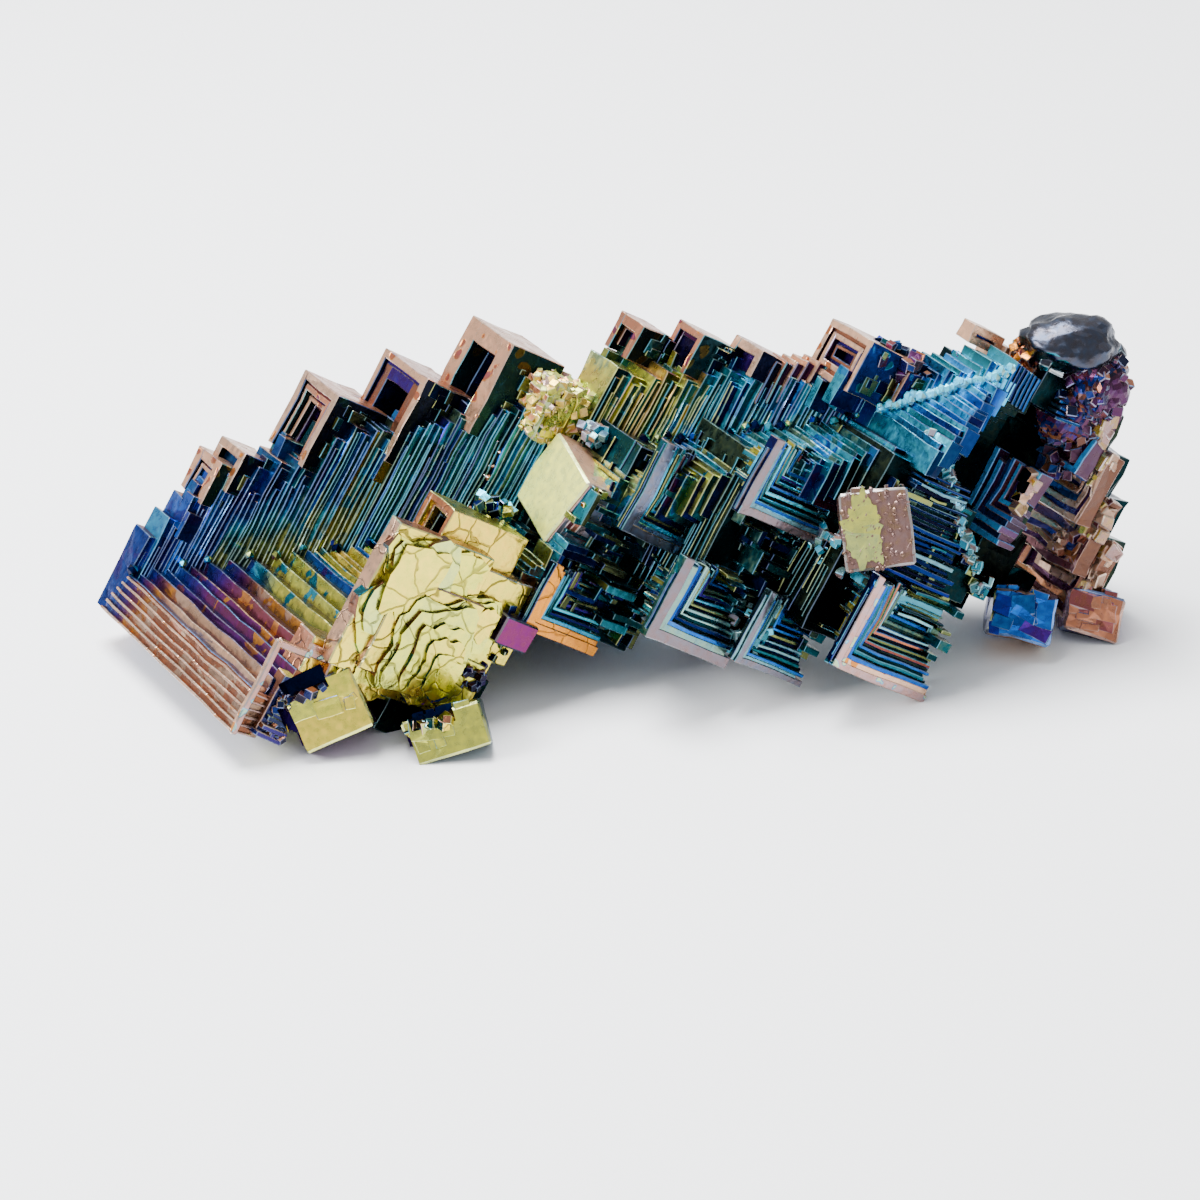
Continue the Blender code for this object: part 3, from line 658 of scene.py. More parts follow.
# ---------------------------------------------------------------------------------------------------------
# Odd cubes that grew at an angle: one turned on the end of the left trough, two that lean on the slabs and
# carry the crystal's weight, a rough brown one by the right trough, and two at the right end.
twisted_zone = new_zone(
    left=((0.885,), 1.2, 1.2), front=((PEARL_PINK,), 0.8, 0.8),
    top=((CELADON, TAN), 0.6, 0.9), edge=0.95, mottle=0.3, spread=0.0, matte=0.6)
twisted_face_zone = new_zone(
    left=((PEARL_PINK, ROSE), 0.7, 0.9), front=((PEARL_PINK, PEARL_GREY, ROSE), 0.6, 0.95),
    top=((PURPLE, TAN), 0.5, 0.8), edge=0.9, mottle=1.6, spread=0.02, matte=0.3)
# The yellow foot's front is painted brighter than full: painted light on a face that the lamps light little.
yellow_zone = new_zone(
    left=((VIOLET, NAVY), 0.1, 0.4), front=((0.93, LIME), 1.2, 1.25),
    top=((TAN, PURPLE), 0.5, 0.9), edge=0.8, mottle=0.5, spread=0.01)
olive_zone = new_zone(
    left=((LIME, TEAL), 0.2, 0.4), front=((0.90,), 0.85, 0.9),
    top=((LIME, TEAL), 0.2, 0.5), edge=0.8, mottle=0.8, spread=0.005)
brown_zone = new_zone(
    left=((PEARL_PINK,), 0.3, 0.4), front=((PEARL_PINK,), 0.40, 0.45),
    top=((PEARL_PINK,), 0.4, 0.5), edge=0.45, mottle=0.25, spread=0.0, matte=0.4)
blue_purple_zone = new_zone(
    left=((LIME, NAVY), 0.2, 0.5), front=((COBALT,), 0.9, 1.0),
    top=((PURPLE, TAN), 0.5, 0.9), edge=0.6, mottle=2.4, spread=0.0)
violet_flake_zone = new_zone(
    left=((VIOLET,), 0.3, 0.6), front=((VIOLET, NAVY, COBALT), 0.45, 0.85),
    top=((PURPLE, NAVY), 0.2, 0.6), edge=0.5, mottle=2.0)
patch_zone = new_zone(
    left=((0.88,), 0.6, 0.7), front=((0.88,), 0.62, 0.66),
    top=((0.88,), 0.5, 0.6), edge=0.7, mottle=0.5, matte=0.5)
small_copper_zone = new_zone(
    left=((COPPER, PURPLE), 0.6, 0.9), front=((COPPER, ROSE), 0.6, 0.9),
    top=((NAVY, VIOLET), 0.2, 0.6), edge=0.95, mottle=2.2, spread=0.0, matte=0.3)
place = (lattice @ Matrix.Translation(Vector((24.8, 21.2, 23.1)))
         @ Matrix.Rotation(math.radians(15.0), 4, "Z"))
grow(place @ Matrix.Diagonal((6.8, 7.8, 4.8, 1.0)), twisted_zone, bevel=0.2)
# Its right face is a stack of thin pink plates.
PINK_PLATES = 4
for step in range(PINK_PLATES):
    inset = step * 0.5
    grow(place @ Matrix.Translation((0.0, 3.9 + step * 0.12, 0.25 * step))
         @ Matrix.Diagonal((6.3 - inset * 2, 0.3, 4.3 - inset, 1.0)), twisted_face_zone, bevel=0.08)

# Thin steps and a root close the corner between the trough's end and the first foot.
corner_zone = new_zone(
    left=((VIOLET, NAVY, COPPER), 0.2, 0.8), front=((NAVY, VIOLET), 0.1, 0.5),
    top=((LIME, TAN, VIOLET), 0.3, 1.0), edge=0.8, mottle=2.2, matte=0.3)
CORNER_STEPS = 7
for step in range(CORNER_STEPS):
    p = -3.6 + step * 0.75
    r = 1.6 + step * 0.22
    grow_block((p, p + 0.45, 24.6, 26.6 + sizes.uniform(-0.3, 0.3), r, r + 2.6), corner_zone)
grow_block((-3.4, 2.2, 24.6, 26.2, 1.8, 4.4), corner_zone)

standing = Matrix.Translation(TIP_OF_SPINE) @ Matrix.Scale(MM, 4)
glitter = bpy.data.collections.new("crumbs_in_hollows")
LEANING_TILT = 25.0
KNOBS = 10
GLITTERING_CUBES = 22
WARTS = 110
PATCH_POINTS = 60
# (centre in millimetres from the spine's tip, size across, deep and high, roll, how many flakes, its zone)
LEANING_BLOCKS = (
    ((18.5, -18.6, -4.2), (6.6, 7.0, 5.5), 24.0, 4, yellow_zone),
    ((28.6, -19.6, -5.9), (6.8, 6.4, 3.9), 17.0, 4, olive_zone),
    ((65.1, -8.6, 8.0), (6.0, 5.0, 6.7), 7.0, 0, brown_zone),
    ((78.6, -0.6, -3.9), (5.5, 5.6, 4.2), -11.0, 9, blue_purple_zone),
    ((85.4, 3.2, -5.6), (5.0, 5.6, 4.0), -14.0, 9, small_copper_zone),
)
for centre, size, roll, flakes, zone in LEANING_BLOCKS:
    place = (standing @ Matrix.Translation(Vector(centre))
             @ Matrix.Rotation(math.radians(-LEANING_TILT), 4, "X")
             @ Matrix.Rotation(math.radians(-roll), 4, "Y"))
    grow(place @ Matrix.Diagonal((*size, 1.0)), zone, bevel=0.22)
    wide, deep, high = size
    for _ in range(flakes):
        # Thin flakes lie on the block's faces.
        flake = (sizes.uniform(0.8, 2.8), 0.0, sizes.uniform(0.6, 2.0))
        x = sizes.uniform(-wide + flake[0], wide - flake[0]) / 2
        z = sizes.uniform(-high + flake[2], high - flake[2]) / 2
        proud = sizes.uniform(0.05, 0.14)
        grow(place @ Matrix.Translation((x, -deep / 2, z))
             @ Matrix.Rotation(math.radians(sizes.uniform(-14.0, 14.0)), 4, "Y")
             @ Matrix.Diagonal((flake[0], 2 * proud, flake[2], 1.0)),
             violet_flake_zone if zone == blue_purple_zone else zone, bevel=0.05)
    for _ in range(KNOBS):
        x = sizes.uniform(-0.4, 0.4) * wide
        y = sizes.uniform(-0.4, 0.4) * deep
        side = sizes.uniform(0.5, 1.4)
        grow(place @ Matrix.Translation((x, y, high / 2)) @ Matrix.Diagonal((side, side, 0.7, 1.0)), zone,
             bevel=0.06)
    if zone in (yellow_zone, olive_zone):
        # The top of each foot is eaten out, and the hollow glitters.
        grow(place @ Matrix.Translation((-wide * 0.12, -deep * 0.28, high / 2)) @ Matrix.Diagonal(
            (wide * 0.55, deep * 0.75, 2.0, 1.0)), groove_zone, bevel=0.0, collection=cut)
        grow(place @ Matrix.Translation((-wide / 2, -deep * 0.3, -high * 0.1)) @ Matrix.Diagonal(
            (0.9, deep * 0.6, high * 0.8, 1.0)), groove_zone, bevel=0.0, collection=cut)
        for _ in range(GLITTERING_CUBES):
            x = sizes.uniform(-0.42, 0.18) * wide
            y = sizes.uniform(-0.55, 0.0) * deep
            turn = Matrix.Rotation(sizes.uniform(0.0, math.pi), 4, Vector((sizes.random(), 0.4, 1.0)))
            grow(place @ Matrix.Translation((x, y, high / 2 - sizes.uniform(0.8, 1.1))) @ turn
                 @ Matrix.Scale(sizes.uniform(0.5, 1.1), 4),
                 contour_zone if zone == olive_zone else druse_zone, bevel=0.05, collection=glitter)
    if zone == brown_zone:
        # The brown cube is covered in warts, with a ragged yellow patch on its face.
        for _ in range(WARTS):
            x = sizes.uniform(-0.5, 0.5) * wide
            z = sizes.uniform(-0.5, 0.5) * high
            shape = bmesh.new()
            bmesh.ops.create_icosphere(shape, subdivisions=1, radius=1.0)
            bmesh.ops.transform(shape, verts=shape.verts, matrix=(
                place @ Matrix.Translation((x, -deep / 2, z)) @ Matrix.Diagonal(
                    (*(sizes.uniform(0.1, 0.3), 0.16, sizes.uniform(0.1, 0.3)), 1.0))))
            keep_shape(shape, brown_zone, grown)

        def ragged_patch(point):
            """Torn outline, just proud of the cube's face."""
            ragged = 1.0 + 0.45 * noise.noise(point * 1.6) + 0.35 * noise.noise(point * 5.0)
            return Vector((-1.0 + 1.7 * point.x * ragged, -deep / 2 - 0.12, 2.7 * point.y * ragged))

        grow_plate(PATCH_POINTS, ragged_patch, 1.0, place, patch_zone)

# A small magenta block fills the gap under the slabs.
magenta_zone = new_zone(
    left=((VIOLET, NAVY), 0.4, 0.7), front=((0.37,), 0.75, 0.75),
    top=((VIOLET,), 0.5, 0.8), edge=0.6, mottle=2.2)
grow_block((11.6, 14.2, 25.6, 28.6, 17.8, 21.4), magenta_zone, bevel=0.15)

# ---------------------------------------------------------------------------------------------------------
# The right end: ledges under the feather of the right trough, painted near-black as its shade, small tan
# cubes at its tip, and hoppers of copper, blue and purple whose rims nest in a V.
RIGHT_LEDGES = (
    (30.8, 40.0, 33.4, 40.0, 41.0, 49.0),
    (30.8, 40.0, 28.0, 33.8, 46.0, 58.0),
    (32.0, 35.0, 33.4, 40.2, 48.0, 52.0),
    (44.2, 47.0, 38.0, 41.0, 46.6, 50.0),
)
right_ledge_zone = new_zone(
    left=((TEAL,), 0.02, 0.15), front=((TEAL,), 0.01, 0.06),
    top=((NAVY, TEAL), 0.05, 0.3), edge=0.4)
blade_zone = new_zone(
    left=((COBALT, NAVY, VIOLET), 0.2, 0.7),
    front=((NAVY, NAVY, COBALT, NAVY, PEARL_BLUE, PEARL_CYAN), 0.02, 0.55),
    top=((NAVY, COBALT, PEARL_CYAN), 0.1, 0.8), edge=0.75, mottle=1.6)
pale_crust_zone = new_zone(
    left=((PEARL_CYAN, CYAN, PEARL_GREY), 0.5, 1.1), front=((PEARL_CYAN, CYAN, TEAL), 0.3, 1.0),
    top=((PEARL_CYAN, PEARL_PINK), 0.6, 1.0), edge=1.0, mottle=1.4, matte=0.4)
for sides in RIGHT_LEDGES:
    grow_block(sides, right_ledge_zone)
# Thin blades, nearly level, are stacked on the ledge's front.
blade_p = 31.0
while blade_p < 41.6:
    grow_block((blade_p, blade_p + sizes.uniform(0.2, 0.4), 38.0, sizes.uniform(40.2, 41.2),
                40.6 + sizes.uniform(-0.3, 0.4), 46.8 + (41.0 - blade_p) * 0.35 + sizes.uniform(-0.8, 0.5)),
               blade_zone, bevel=0.05)
    blade_p += sizes.uniform(0.42, 0.7)
grow_block((30.3, 31.2, 34.0, 41.4, 40.4, 49.6), pale_crust_zone, bevel=0.1)
# The deep cave between the feather and the right hoppers; its walls are painted near-black, as shade.
CAVE = ((40.5, 47.0, 34.0, 43.0, 46.4, 52.5), (37.5, 40.5, 34.0, 43.0, 48.8, 52.5),
        (34.8, 37.5, 34.0, 43.0, 51.2, 52.5))
for sides in CAVE:
    grow_block(sides, painted_shade_zone, bevel=0.0, collection=cut)

arm_zone = new_zone(
    left=((COBALT, PEARL_BLUE, NAVY, CYAN), 0.3, 0.9), front=((NAVY, COBALT), 0.05, 0.5),
    top=((COBALT, PEARL_CYAN, NAVY), 0.3, 0.9), edge=0.9, mottle=1.4)
TIP_CUBES = (
    ((52.5, 54.2, 31.2, 33.2, 44.4, 48.2), ((P, 1), (P, -1), (R, 1), (R, -1))),
    ((50.4, 53.6, 30.0, 33.8, 48.2, 50.6), ((P, 1), (R, 1), (R, -1))),
    ((49.8, 52.6, 32.0, 35.0, 49.8, 52.2), ((P, 1), (R, 1), (R, -1))),
)
tip_zone = new_zone(
    left=((TAN,), 0.8, 1.0), front=[(0.0, (TAN,), 0.9, 1.0), (48.0, (COPPER, TAN), 0.7, 1.0)],
    top=((TAN, COPPER), 0.8, 1.0), edge=0.95, mottle=0.8, matte=0.25)
for sides, borders in TIP_CUBES:
    grow_hopper(sides, Q, 1, borders, ((0.75, 0.0, tip_zone),), (0.7, groove_zone))

# Past the end of the feather's spine the herringbone turns round: fins step down to the right, then long
# thin arms run along the cave's upper edge.
TURNED_FINS, LONG_ARMS = 7, 8
for index in range(TURNED_FINS):
    r = 46.2 + index * 0.55
    grow_block((50.0 - index * 0.1, 53.2 - index * 0.1, 34.0, 38.5 - index * 0.1, r, r + 0.26), arm_zone,
               bevel=0.05)
for index in range(LONG_ARMS):
    p = 50.2 + index * 0.45
    grow_block((p, p + 0.27, 30.6, 40.0 - index * 0.35 + sizes.uniform(-0.6, 0.2), 52.0 + index * 0.12,
                56.5), arm_zone, bevel=0.05)
grow_block((50.4, 53.6, 30.6, 37.8, 50.0, 57.4), root_zone)
grow_block((44.5, 51.0, 28.6, 33.2, 46.0, 58.6), root_zone)

copper_rim_zone = new_zone(
    left=[(0.0, (COPPER, TAN, ROSE), 0.6, 1.0), (63.0, (TAN, COPPER), 0.7, 0.95)],
    front=((COPPER, PURPLE, ROSE), 0.15, 0.5),
    top=((TAN, PEARL_PINK, COPPER), 0.6, 1.0), edge=0.9, mottle=1.6, matte=0.35)
purple_groove_zone = new_zone(
    left=[(0.0, (PURPLE, VIOLET, ROSE, COBALT), 0.35, 0.9), (63.0, (COPPER, ROSE, PURPLE), 0.25, 0.6)],
    front=((PURPLE, ROSE), 0.1, 0.4), top=((PURPLE, COPPER), 0.3, 0.7), edge=0.7, mottle=2.0, matte=0.35)
# The blue rims' left faces lie in the cave's shade and are painted brighter than full: painted light.
blue_rim_zone = new_zone(
    left=((COBALT, SKY, 0.66), 1.0, 1.5), front=((PURPLE, ROSE), 0.15, 0.5),
    top=((COBALT, ROSE), 0.4, 0.9), edge=0.95, mottle=0.9, matte=0.6)
cream_zone = new_zone(
    left=((PEARL_PINK, STRAW, TAN), 0.6, 1.0), front=((TAN, PEARL_PINK), 0.4, 0.9),
    top=((TAN, PEARL_PINK), 0.6, 1.0), edge=0.95, mottle=1.0, matte=0.35)
V_BORDERS = ((P, -1), (Q, 1))


def v_rims(count, wide, rim, groove, sink):
    """Pairs of a proud rim and a sunk groove, each pair a little deeper than the last."""
    rims = []
    for index in range(count):
        rims.append((wide * 0.5, sink * index, rim))
        rims.append((wide * 0.5, sink * index + 0.45, groove))
    return tuple(rims)


# (sides, rims, hollow's depth and zone)
V_HOPPERS = (
    ((38.0, 45.4, 33.6, 39.8, 52.6, 54.8), ((P, -1), (Q, -1)),
     v_rims(4, 1.1, blue_rim_zone, purple_groove_zone, 0.12), (0.7, blue_rim_zone)),
    ((46.6, 53.0, 29.0, 39.8, 57.0, 58.6), V_BORDERS,
     v_rims(4, 1.2, blue_rim_zone, purple_groove_zone, 0.24), (1.3, purple_groove_zone)),
    ((42.6, 49.6, 30.0, 40.4, 59.2, 60.8), V_BORDERS,
     v_rims(4, 1.15, copper_rim_zone, purple_groove_zone, 0.24), (1.3, blue_rim_zone)),
    ((38.6, 46.0, 29.6, 40.4, 61.6, 63.2), V_BORDERS,
     v_rims(4, 1.2, copper_rim_zone, purple_groove_zone, 0.24), (1.3, purple_groove_zone)),
    ((34.5, 42.6, 28.6, 39.8, 64.6, 66.4), ((P, -1), (Q, -1), (Q, 1)),
     v_rims(4, 1.25, copper_rim_zone, purple_groove_zone, 0.26), (1.5, purple_groove_zone)),
)
CREAM_CRUMBS = 16
for sides, borders, rims, hollow in V_HOPPERS:
    grow_hopper(sides, R, -1, borders, rims, hollow)
    p0, p1, q0, q1, r0, r1 = sides
    # A block painted near-black, as shade, fills in behind each V.
    grow_block((p0 + 0.8, p1, q0, q1 - 2.4, r1 - 0.5, r0 + 4.2), painted_shade_zone)
    # Cream crumbs grow where each V ends, along the crystal's right edge.
    for _ in range(CREAM_CRUMBS):
        place = Vector((sizes.uniform(p0 + 3.4, p1 - 0.4), q1 - abs(sizes.gauss(0.0, 0.45)) - 0.1,
                        r0 + sizes.uniform(0.1, 1.1)))
        side = sizes.uniform(0.5, 1.3)
        turn = Matrix.Rotation(sizes.uniform(-0.5, 0.5), 4, Vector((sizes.random(), 1.0, 0.3)))
        grow(lattice @ Matrix.Translation(place) @ turn @ Matrix.Scale(side, 4), cream_zone, bevel=0.12)

# ---------------------------------------------------------------------------------------------------------
# Lumps and druses: rounded metal that froze last at the right end, and crumbs of tiny cubes and beads along
# the spines and in the corners.
LUMP_GREY = 1.09
# The lump's top is painted a little lighter than its sides, as painted light.
lump_zone = new_zone(left=((LUMP_GREY,), 0.2, 0.2), front=((LUMP_GREY,), 0.2, 0.2),
                     top=((LUMP_GREY,), 0.28, 0.28), edge=0.2, spread=0.0, mottle=0.9)
orange_druse_zone = new_zone(left=((COPPER, GOLD), 0.6, 1.0), front=((COPPER, ROSE), 0.4, 1.0),
                             top=((COPPER, TAN), 0.6, 1.0), edge=0.9, mottle=1.5)
# (centre in millimetres from the spine's tip, radii, depth of its pits, how many tiny cubes, its zone)
LUMPS = (
    ((82.7, 4.0, 20.4), (4.4, 3.7, 2.3), 0.09, 24, lump_zone),
    ((84.9, 3.4, 16.6), (2.5, 2.9, 3.2), 0.16, 70, druse_zone),
    ((82.8, 3.8, 13.8), (2.8, 2.9, 3.0), 0.16, 60, druse_zone),
    ((78.8, 4.4, 18.2), (1.6, 1.9, 2.0), 0.16, 60, orange_druse_zone),
)
LUMP_SWELL = 0.22
for index, (centre, radii, pitted, cubes, zone) in enumerate(LUMPS):
    shape = bmesh.new()
    bmesh.ops.create_icosphere(shape, subdivisions=4, radius=1.0)
    for vertex in shape.verts:
        swell = LUMP_SWELL * noise.noise(vertex.co * 1.5 + Vector((index, 0.0, 0.0)))
        pits = pitted * noise.noise(vertex.co * 4.0)
        vertex.co *= 1.0 + swell + pits
    bmesh.ops.transform(shape, verts=shape.verts, matrix=(
        standing @ Matrix.Translation(Vector(centre)) @ Matrix.Diagonal((*radii, 1.0))))
    keep_shape(shape, zone, grown)
    for _ in range(cubes):
        # Tiny cubes bristle on the lump, on the first one only underneath.
        direction = Vector((sizes.gauss(0, 1), sizes.gauss(0, 1), sizes.gauss(0, 1))).normalized()
        if zone == lump_zone and direction.z > -0.35:
            continue
        point = Vector(centre) + Vector([d * r * 0.98 for d, r in zip(direction, radii)])
        turn = Matrix.Rotation(sizes.uniform(0.0, math.pi), 4, Vector((sizes.random(), 1.0, sizes.random())))
        grow(standing @ Matrix.Translation(point) @ turn @ Matrix.Scale(sizes.uniform(0.4, 1.0), 4), zone,
             bevel=0.08)

# Crumbs of tiny cubes: (middle in p, q, r; half extent; how many; their size; the zone)
CRUMBS = (
    ((30.4, 14.6, 19.0), (2.6, 3.0, 0.3), 130, 0.8, lumpy_zone),
    ((30.2, 17.6, 21.4), (2.6, 0.3, 2.0), 90, 0.8, lumpy_zone),
    ((33.0, 14.6, 21.4), (0.2, 3.0, 2.0), 60, 0.8, lumpy_zone),
    ((22.6, 14.6, 18.7), (4.6, 1.2, 0.3), 70, 0.7, lumpy_zone),
    ((26.2, 23.0, 22.5), (1.5, 3.5, 1.5), 24, 0.7, contour_zone),
    ((47.8, 31.5, 41.5), (1.6, 1.6, 3.5), 50, 1.1, druse_zone),
    ((48.9, 29.0, 40.5), (0.6, 1.6, 1.5), 24, 0.9, blue_hollow_zone),
    ((50.0, 32.5, 46.5), (1.2, 1.2, 2.0), 30, 0.9, blue_hollow_zone),
    ((48.4, 37.2, 57.4), (3.0, 2.0, 1.4), 50, 1.2, purple_groove_zone),
    ((49.6, 32.4, 57.0), (2.0, 3.0, 1.0), 46, 1.1, blue_rim_zone),
    ((40.5, 37.5, 62.0), (1.5, 2.0, 1.2), 30, 1.0, copper_rim_zone),
    ((30.0, 20.0, 23.4), (1.0, 1.5, 1.0), 24, 0.8, pale_crust_zone),
    ((21.0, 20.0, 17.0), (1.0, 2.5, 2.0), 50, 0.9, shelf_zone),
    ((13.0, 25.5, 19.5), (3.0, 1.5, 1.2), 50, 0.8, shelf_zone),
    ((8.0, 27.4, 17.6), (1.4, 1.2, 1.6), 40, 0.8, druse_zone),
    ((-0.9, 26.3, 3.4), (2.4, 0.4, 1.0), 60, 0.7, corner_zone),
    ((32.5, 30.2, 27.6), (1.6, 1.0, 1.0), 30, 0.7, pale_crust_zone),
    ((22.0, 36.0, 36.0), (2.0, 1.6, 1.4), 40, 0.9, pale_crust_zone),
    ((31.5, 37.0, 38.8), (1.6, 1.8, 1.4), 40, 0.8, pale_crust_zone),
)
crumbs = random.Random(5)
for middle, reach, count, size, zone in CRUMBS:
    for _ in range(count):
        place = [m + crumbs.uniform(-h, h) for m, h in zip(middle, reach)]
        turn = Matrix.Rotation(crumbs.uniform(0.0, math.pi), 4, Vector((crumbs.random(), 1.0, 0.3)))
        side = size * crumbs.uniform(0.4, 1.0)
        grow(lattice @ Matrix.Translation(Vector(place)) @ turn @ Matrix.Scale(side, 4), zone, bevel=0.05)

# A chain of pale crust hangs down the cave's left side.
CRUST_CHAIN = ((44.8, 38.0, 41.6), (41.4, 39.8, 44.6), (37.5, 40.6, 48.8), (33.6, 41.0, 53.4))
CRUST_PER_LINK = 34
WALLS_PER_LINK = 5
for start, end in zip(CRUST_CHAIN, CRUST_CHAIN[1:]):
    for _ in range(CRUST_PER_LINK):
        place = Vector(start).lerp(Vector(end), crumbs.random())
        place += Vector((crumbs.gauss(0, 0.3), crumbs.gauss(0, 0.3), crumbs.gauss(0, 0.35)))
        turn = Matrix.Rotation(crumbs.uniform(0.0, math.pi), 4, Vector((crumbs.random(), 1.0, 0.3)))
        grow(lattice @ Matrix.Translation(place) @ turn @ Matrix.Scale(crumbs.uniform(0.3, 0.95), 4),
             pale_crust_zone, bevel=0.08)
    # The chain stands on a thin wall.
    for step in range(WALLS_PER_LINK):
        low = Vector(start).lerp(Vector(end), step / WALLS_PER_LINK)
        high = Vector(start).lerp(Vector(end), (step + 1) / WALLS_PER_LINK)
        grow_block((high.x - 0.4, low.x, 36.0, max(low.y, high.y) - 0.2, low.z - 0.3, high.z + 0.3),
                   shelf_zone)

# Beads, dark and pale, sit in the corners along the spines. The dark ones have their tops painted lighter,
# as glints. On the feather's spine they are painted brighter than full, a painted highlight.
BEADS_PER_SPINE = (22, 16, 14, 40)
black_bead_zone = new_zone(left=((NAVY,), 0.05, 0.2), front=((NAVY,), 0.05, 0.2),
                           top=((CYAN,), 0.1, 0.6), edge=0.9)
bright_bead_zone = new_zone(left=((CYAN,), 1.3, 1.5), front=((CYAN, PEARL_CYAN), 1.0, 1.4),
                            top=((CYAN, PEARL_CYAN), 1.2, 1.5), edge=1.0, mottle=0.4, matte=0.5)
for (start, end), count in zip(SPINES, BEADS_PER_SPINE):
    for index in range(count):
        place = Vector(start).lerp(Vector(end), (index + crumbs.random()) / count)
        place += Vector((crumbs.uniform(0.0, 0.5), crumbs.uniform(0.0, 0.5), crumbs.uniform(-0.4, 0.2)))
        shape = bmesh.new()
        bmesh.ops.create_icosphere(shape, subdivisions=1, radius=crumbs.uniform(0.25, 0.55),
                                   matrix=lattice @ Matrix.Translation(place))
        shape.faces.layers.float.new("edge")
        kind = crumbs.choice((bead_zone, black_bead_zone))
        keep_shape(shape, bright_bead_zone if start[R] > FEATHER_FROM else kind, grown)

# ---------------------------------------------------------------------------------------------------------
# The whole crystal: all that grew is joined to one skin, the hollows are cut out of it, and its feet are
# ground flat where it rests.
# The cut that grinds the feet flat leaves them painted near-black, as shade.
ground = bmesh.new()
bmesh.ops.create_cube(ground, size=1.0, matrix=Matrix.Translation((0.0, 0.0, -0.025))
                      @ Matrix.Diagonal((0.3, 0.3, 0.05, 1.0)))
keep_shape(ground, painted_shade_zone, cut)
crystal = grown.objects[0]
grown.objects.unlink(crystal)
bpy.context.scene.collection.objects.link(crystal)
for operation, helpers in (("UNION", grown), ("DIFFERENCE", cut), ("UNION", glitter)):
    joint = crystal.modifiers.new(operation.title(), "BOOLEAN")
    joint.operation = operation
    joint.operand_type = "COLLECTION"
    joint.collection = helpers
    joint.solver = "MANIFOLD"
    skin = bpy.data.meshes.new_from_object(crystal.evaluated_get(bpy.context.evaluated_depsgraph_get()))
    crystal.modifiers.clear()
    crystal.data = skin
for helpers in (grown, cut, glitter):
    for helper in list(helpers.objects):
        bpy.data.objects.remove(helper)
    bpy.data.collections.remove(helpers)
crystal.name = "oxidised_crystal"

bm = bmesh.new()
bm.from_mesh(crystal.data)
# Only the largest body stays.
unseen = set(bm.faces)
largest = set()
while unseen:
    body = set()
    edge_of_body = [unseen.pop()]
    while edge_of_body:
        face = edge_of_body.pop()
        body.add(face)
        for edge in face.edges:
            for other in edge.link_faces:
                if other in unseen:
                    unseen.remove(other)
                    edge_of_body.append(other)
    if len(body) > len(largest):
        largest = body
bmesh.ops.delete(bm, geom=[face for face in bm.faces if face not in largest], context="FACES")

# The oxide's thickness is set on each flat face: each terrace of a zone takes one of the zone's films and
# its own shade, both from the plane it lies in, so that one terrace is one colour all along. The shade is
# painted light and shade, taken from the band of the side that the face looks to.
zone_layer = bm.faces.layers.float["zone"]
edge_layer = bm.faces.layers.float["edge"]
film_layer = bm.faces.layers.float.new("face_film")
shade_layer = bm.faces.layers.float.new("face_shade")
PLANES_PER_MM = 6.0
BACK_FILMS = (TEAL, COBALT, NAVY, VIOLET, CYAN, TEAL)
BACK_DARKEST, BACK_BRIGHTEST = 0.12, 0.5
for face in bm.faces:
    zone = zones[int(face[zone_layer] + 0.5)]
    middle = to_lattice @ face.calc_center_median()
    normal = (to_lattice.to_3x3() @ face.normal).normalized()
    directions = (("left", -normal.z, middle.z), ("front", normal.y, middle.y), ("top", normal.x, middle.x),
                  ("left", normal.z, middle.z), ("front", -normal.y, middle.y), ("top", -normal.x, middle.x))
    direction = max(directions, key=lambda entry: entry[1])
    side, _, plane = direction
    band = zone[side][0]
    for candidate in zone[side]:
        if middle.z >= candidate[0]:
            band = candidate
    _, films, darkest, brightest = band
    if directions.index(direction) > 2 and brightest < BACK_BRIGHTEST:
        # Where faces painted dark as shade look back or down, away from the camera, they are painted
        # lighter, so
        # that the hollows reflect some colour: painted light.
        films, darkest, brightest = BACK_FILMS, BACK_DARKEST, BACK_BRIGHTEST
    pick = random.Random(round(plane * PLANES_PER_MM) * 31 + len(side) * 7 + int(face[zone_layer]) * 1009)
    face[film_layer] = pick.choice(films) + pick.uniform(-zone["spread"], zone["spread"])
    shade = pick.uniform(darkest, brightest)
    # A bevel is painted at least as bright as its zone's edge: a painted highlight.
    if face[edge_layer] > 0.5:
        shade = max(shade, zone["edge"])
    face[shade_layer] = shade
    face.smooth = int(face[zone_layer] + 0.5) == lump_zone

# The skin is divided finely enough to wander a little, because no edge of a grown crystal is quite straight.
DIVISION = 2.8
for axis, first, last in ((P, -5, 56), (Q, -8, 46), (R, -1, 68)):
    normal = (EDGE_P, EDGE_Q, EDGE_R)[axis]
    place = first
    while place < last:
        point = Vector((0.0, 0.0, 0.0))
        point[axis] = place
        bmesh.ops.bisect_plane(bm, geom=bm.verts[:] + bm.edges[:] + bm.faces[:], dist=1e-7,
                               plane_co=lattice @ point, plane_no=normal)
        place += DIVISION
bmesh.ops.triangulate(bm, faces=bm.faces[:])

# Each corner's film follows its terrace's, and near a spine it runs towards the spine's own. So does its
# painted shade: darker in the crease along a trough's spine, and a bright painted highlight along the
# feather's spine.
film_loops = bm.loops.layers.float.new("film")
shade_loops = bm.loops.layers.float.new("shade")
look_names = ("mottle", "patch", "vein", "spots", "matte")
look_layers = [bm.faces.layers.float.new(name) for name in look_names]


def distance_from_spine(point, upwards):
    """How far a point of a trough lies from its spine, up the wing or out along the floor."""
    for start, end in SPINES:
        if point.z <= end[R] + 0.8 or end[R] == SPINES[-1][1][R]:
            share = min(max((point.z - start[R]) / (end[R] - start[R]), 0.0), 1.0)
            axis = P if upwards else Q
            return point[axis] - (start[axis] + (end[axis] - start[axis]) * share)
    return FAR


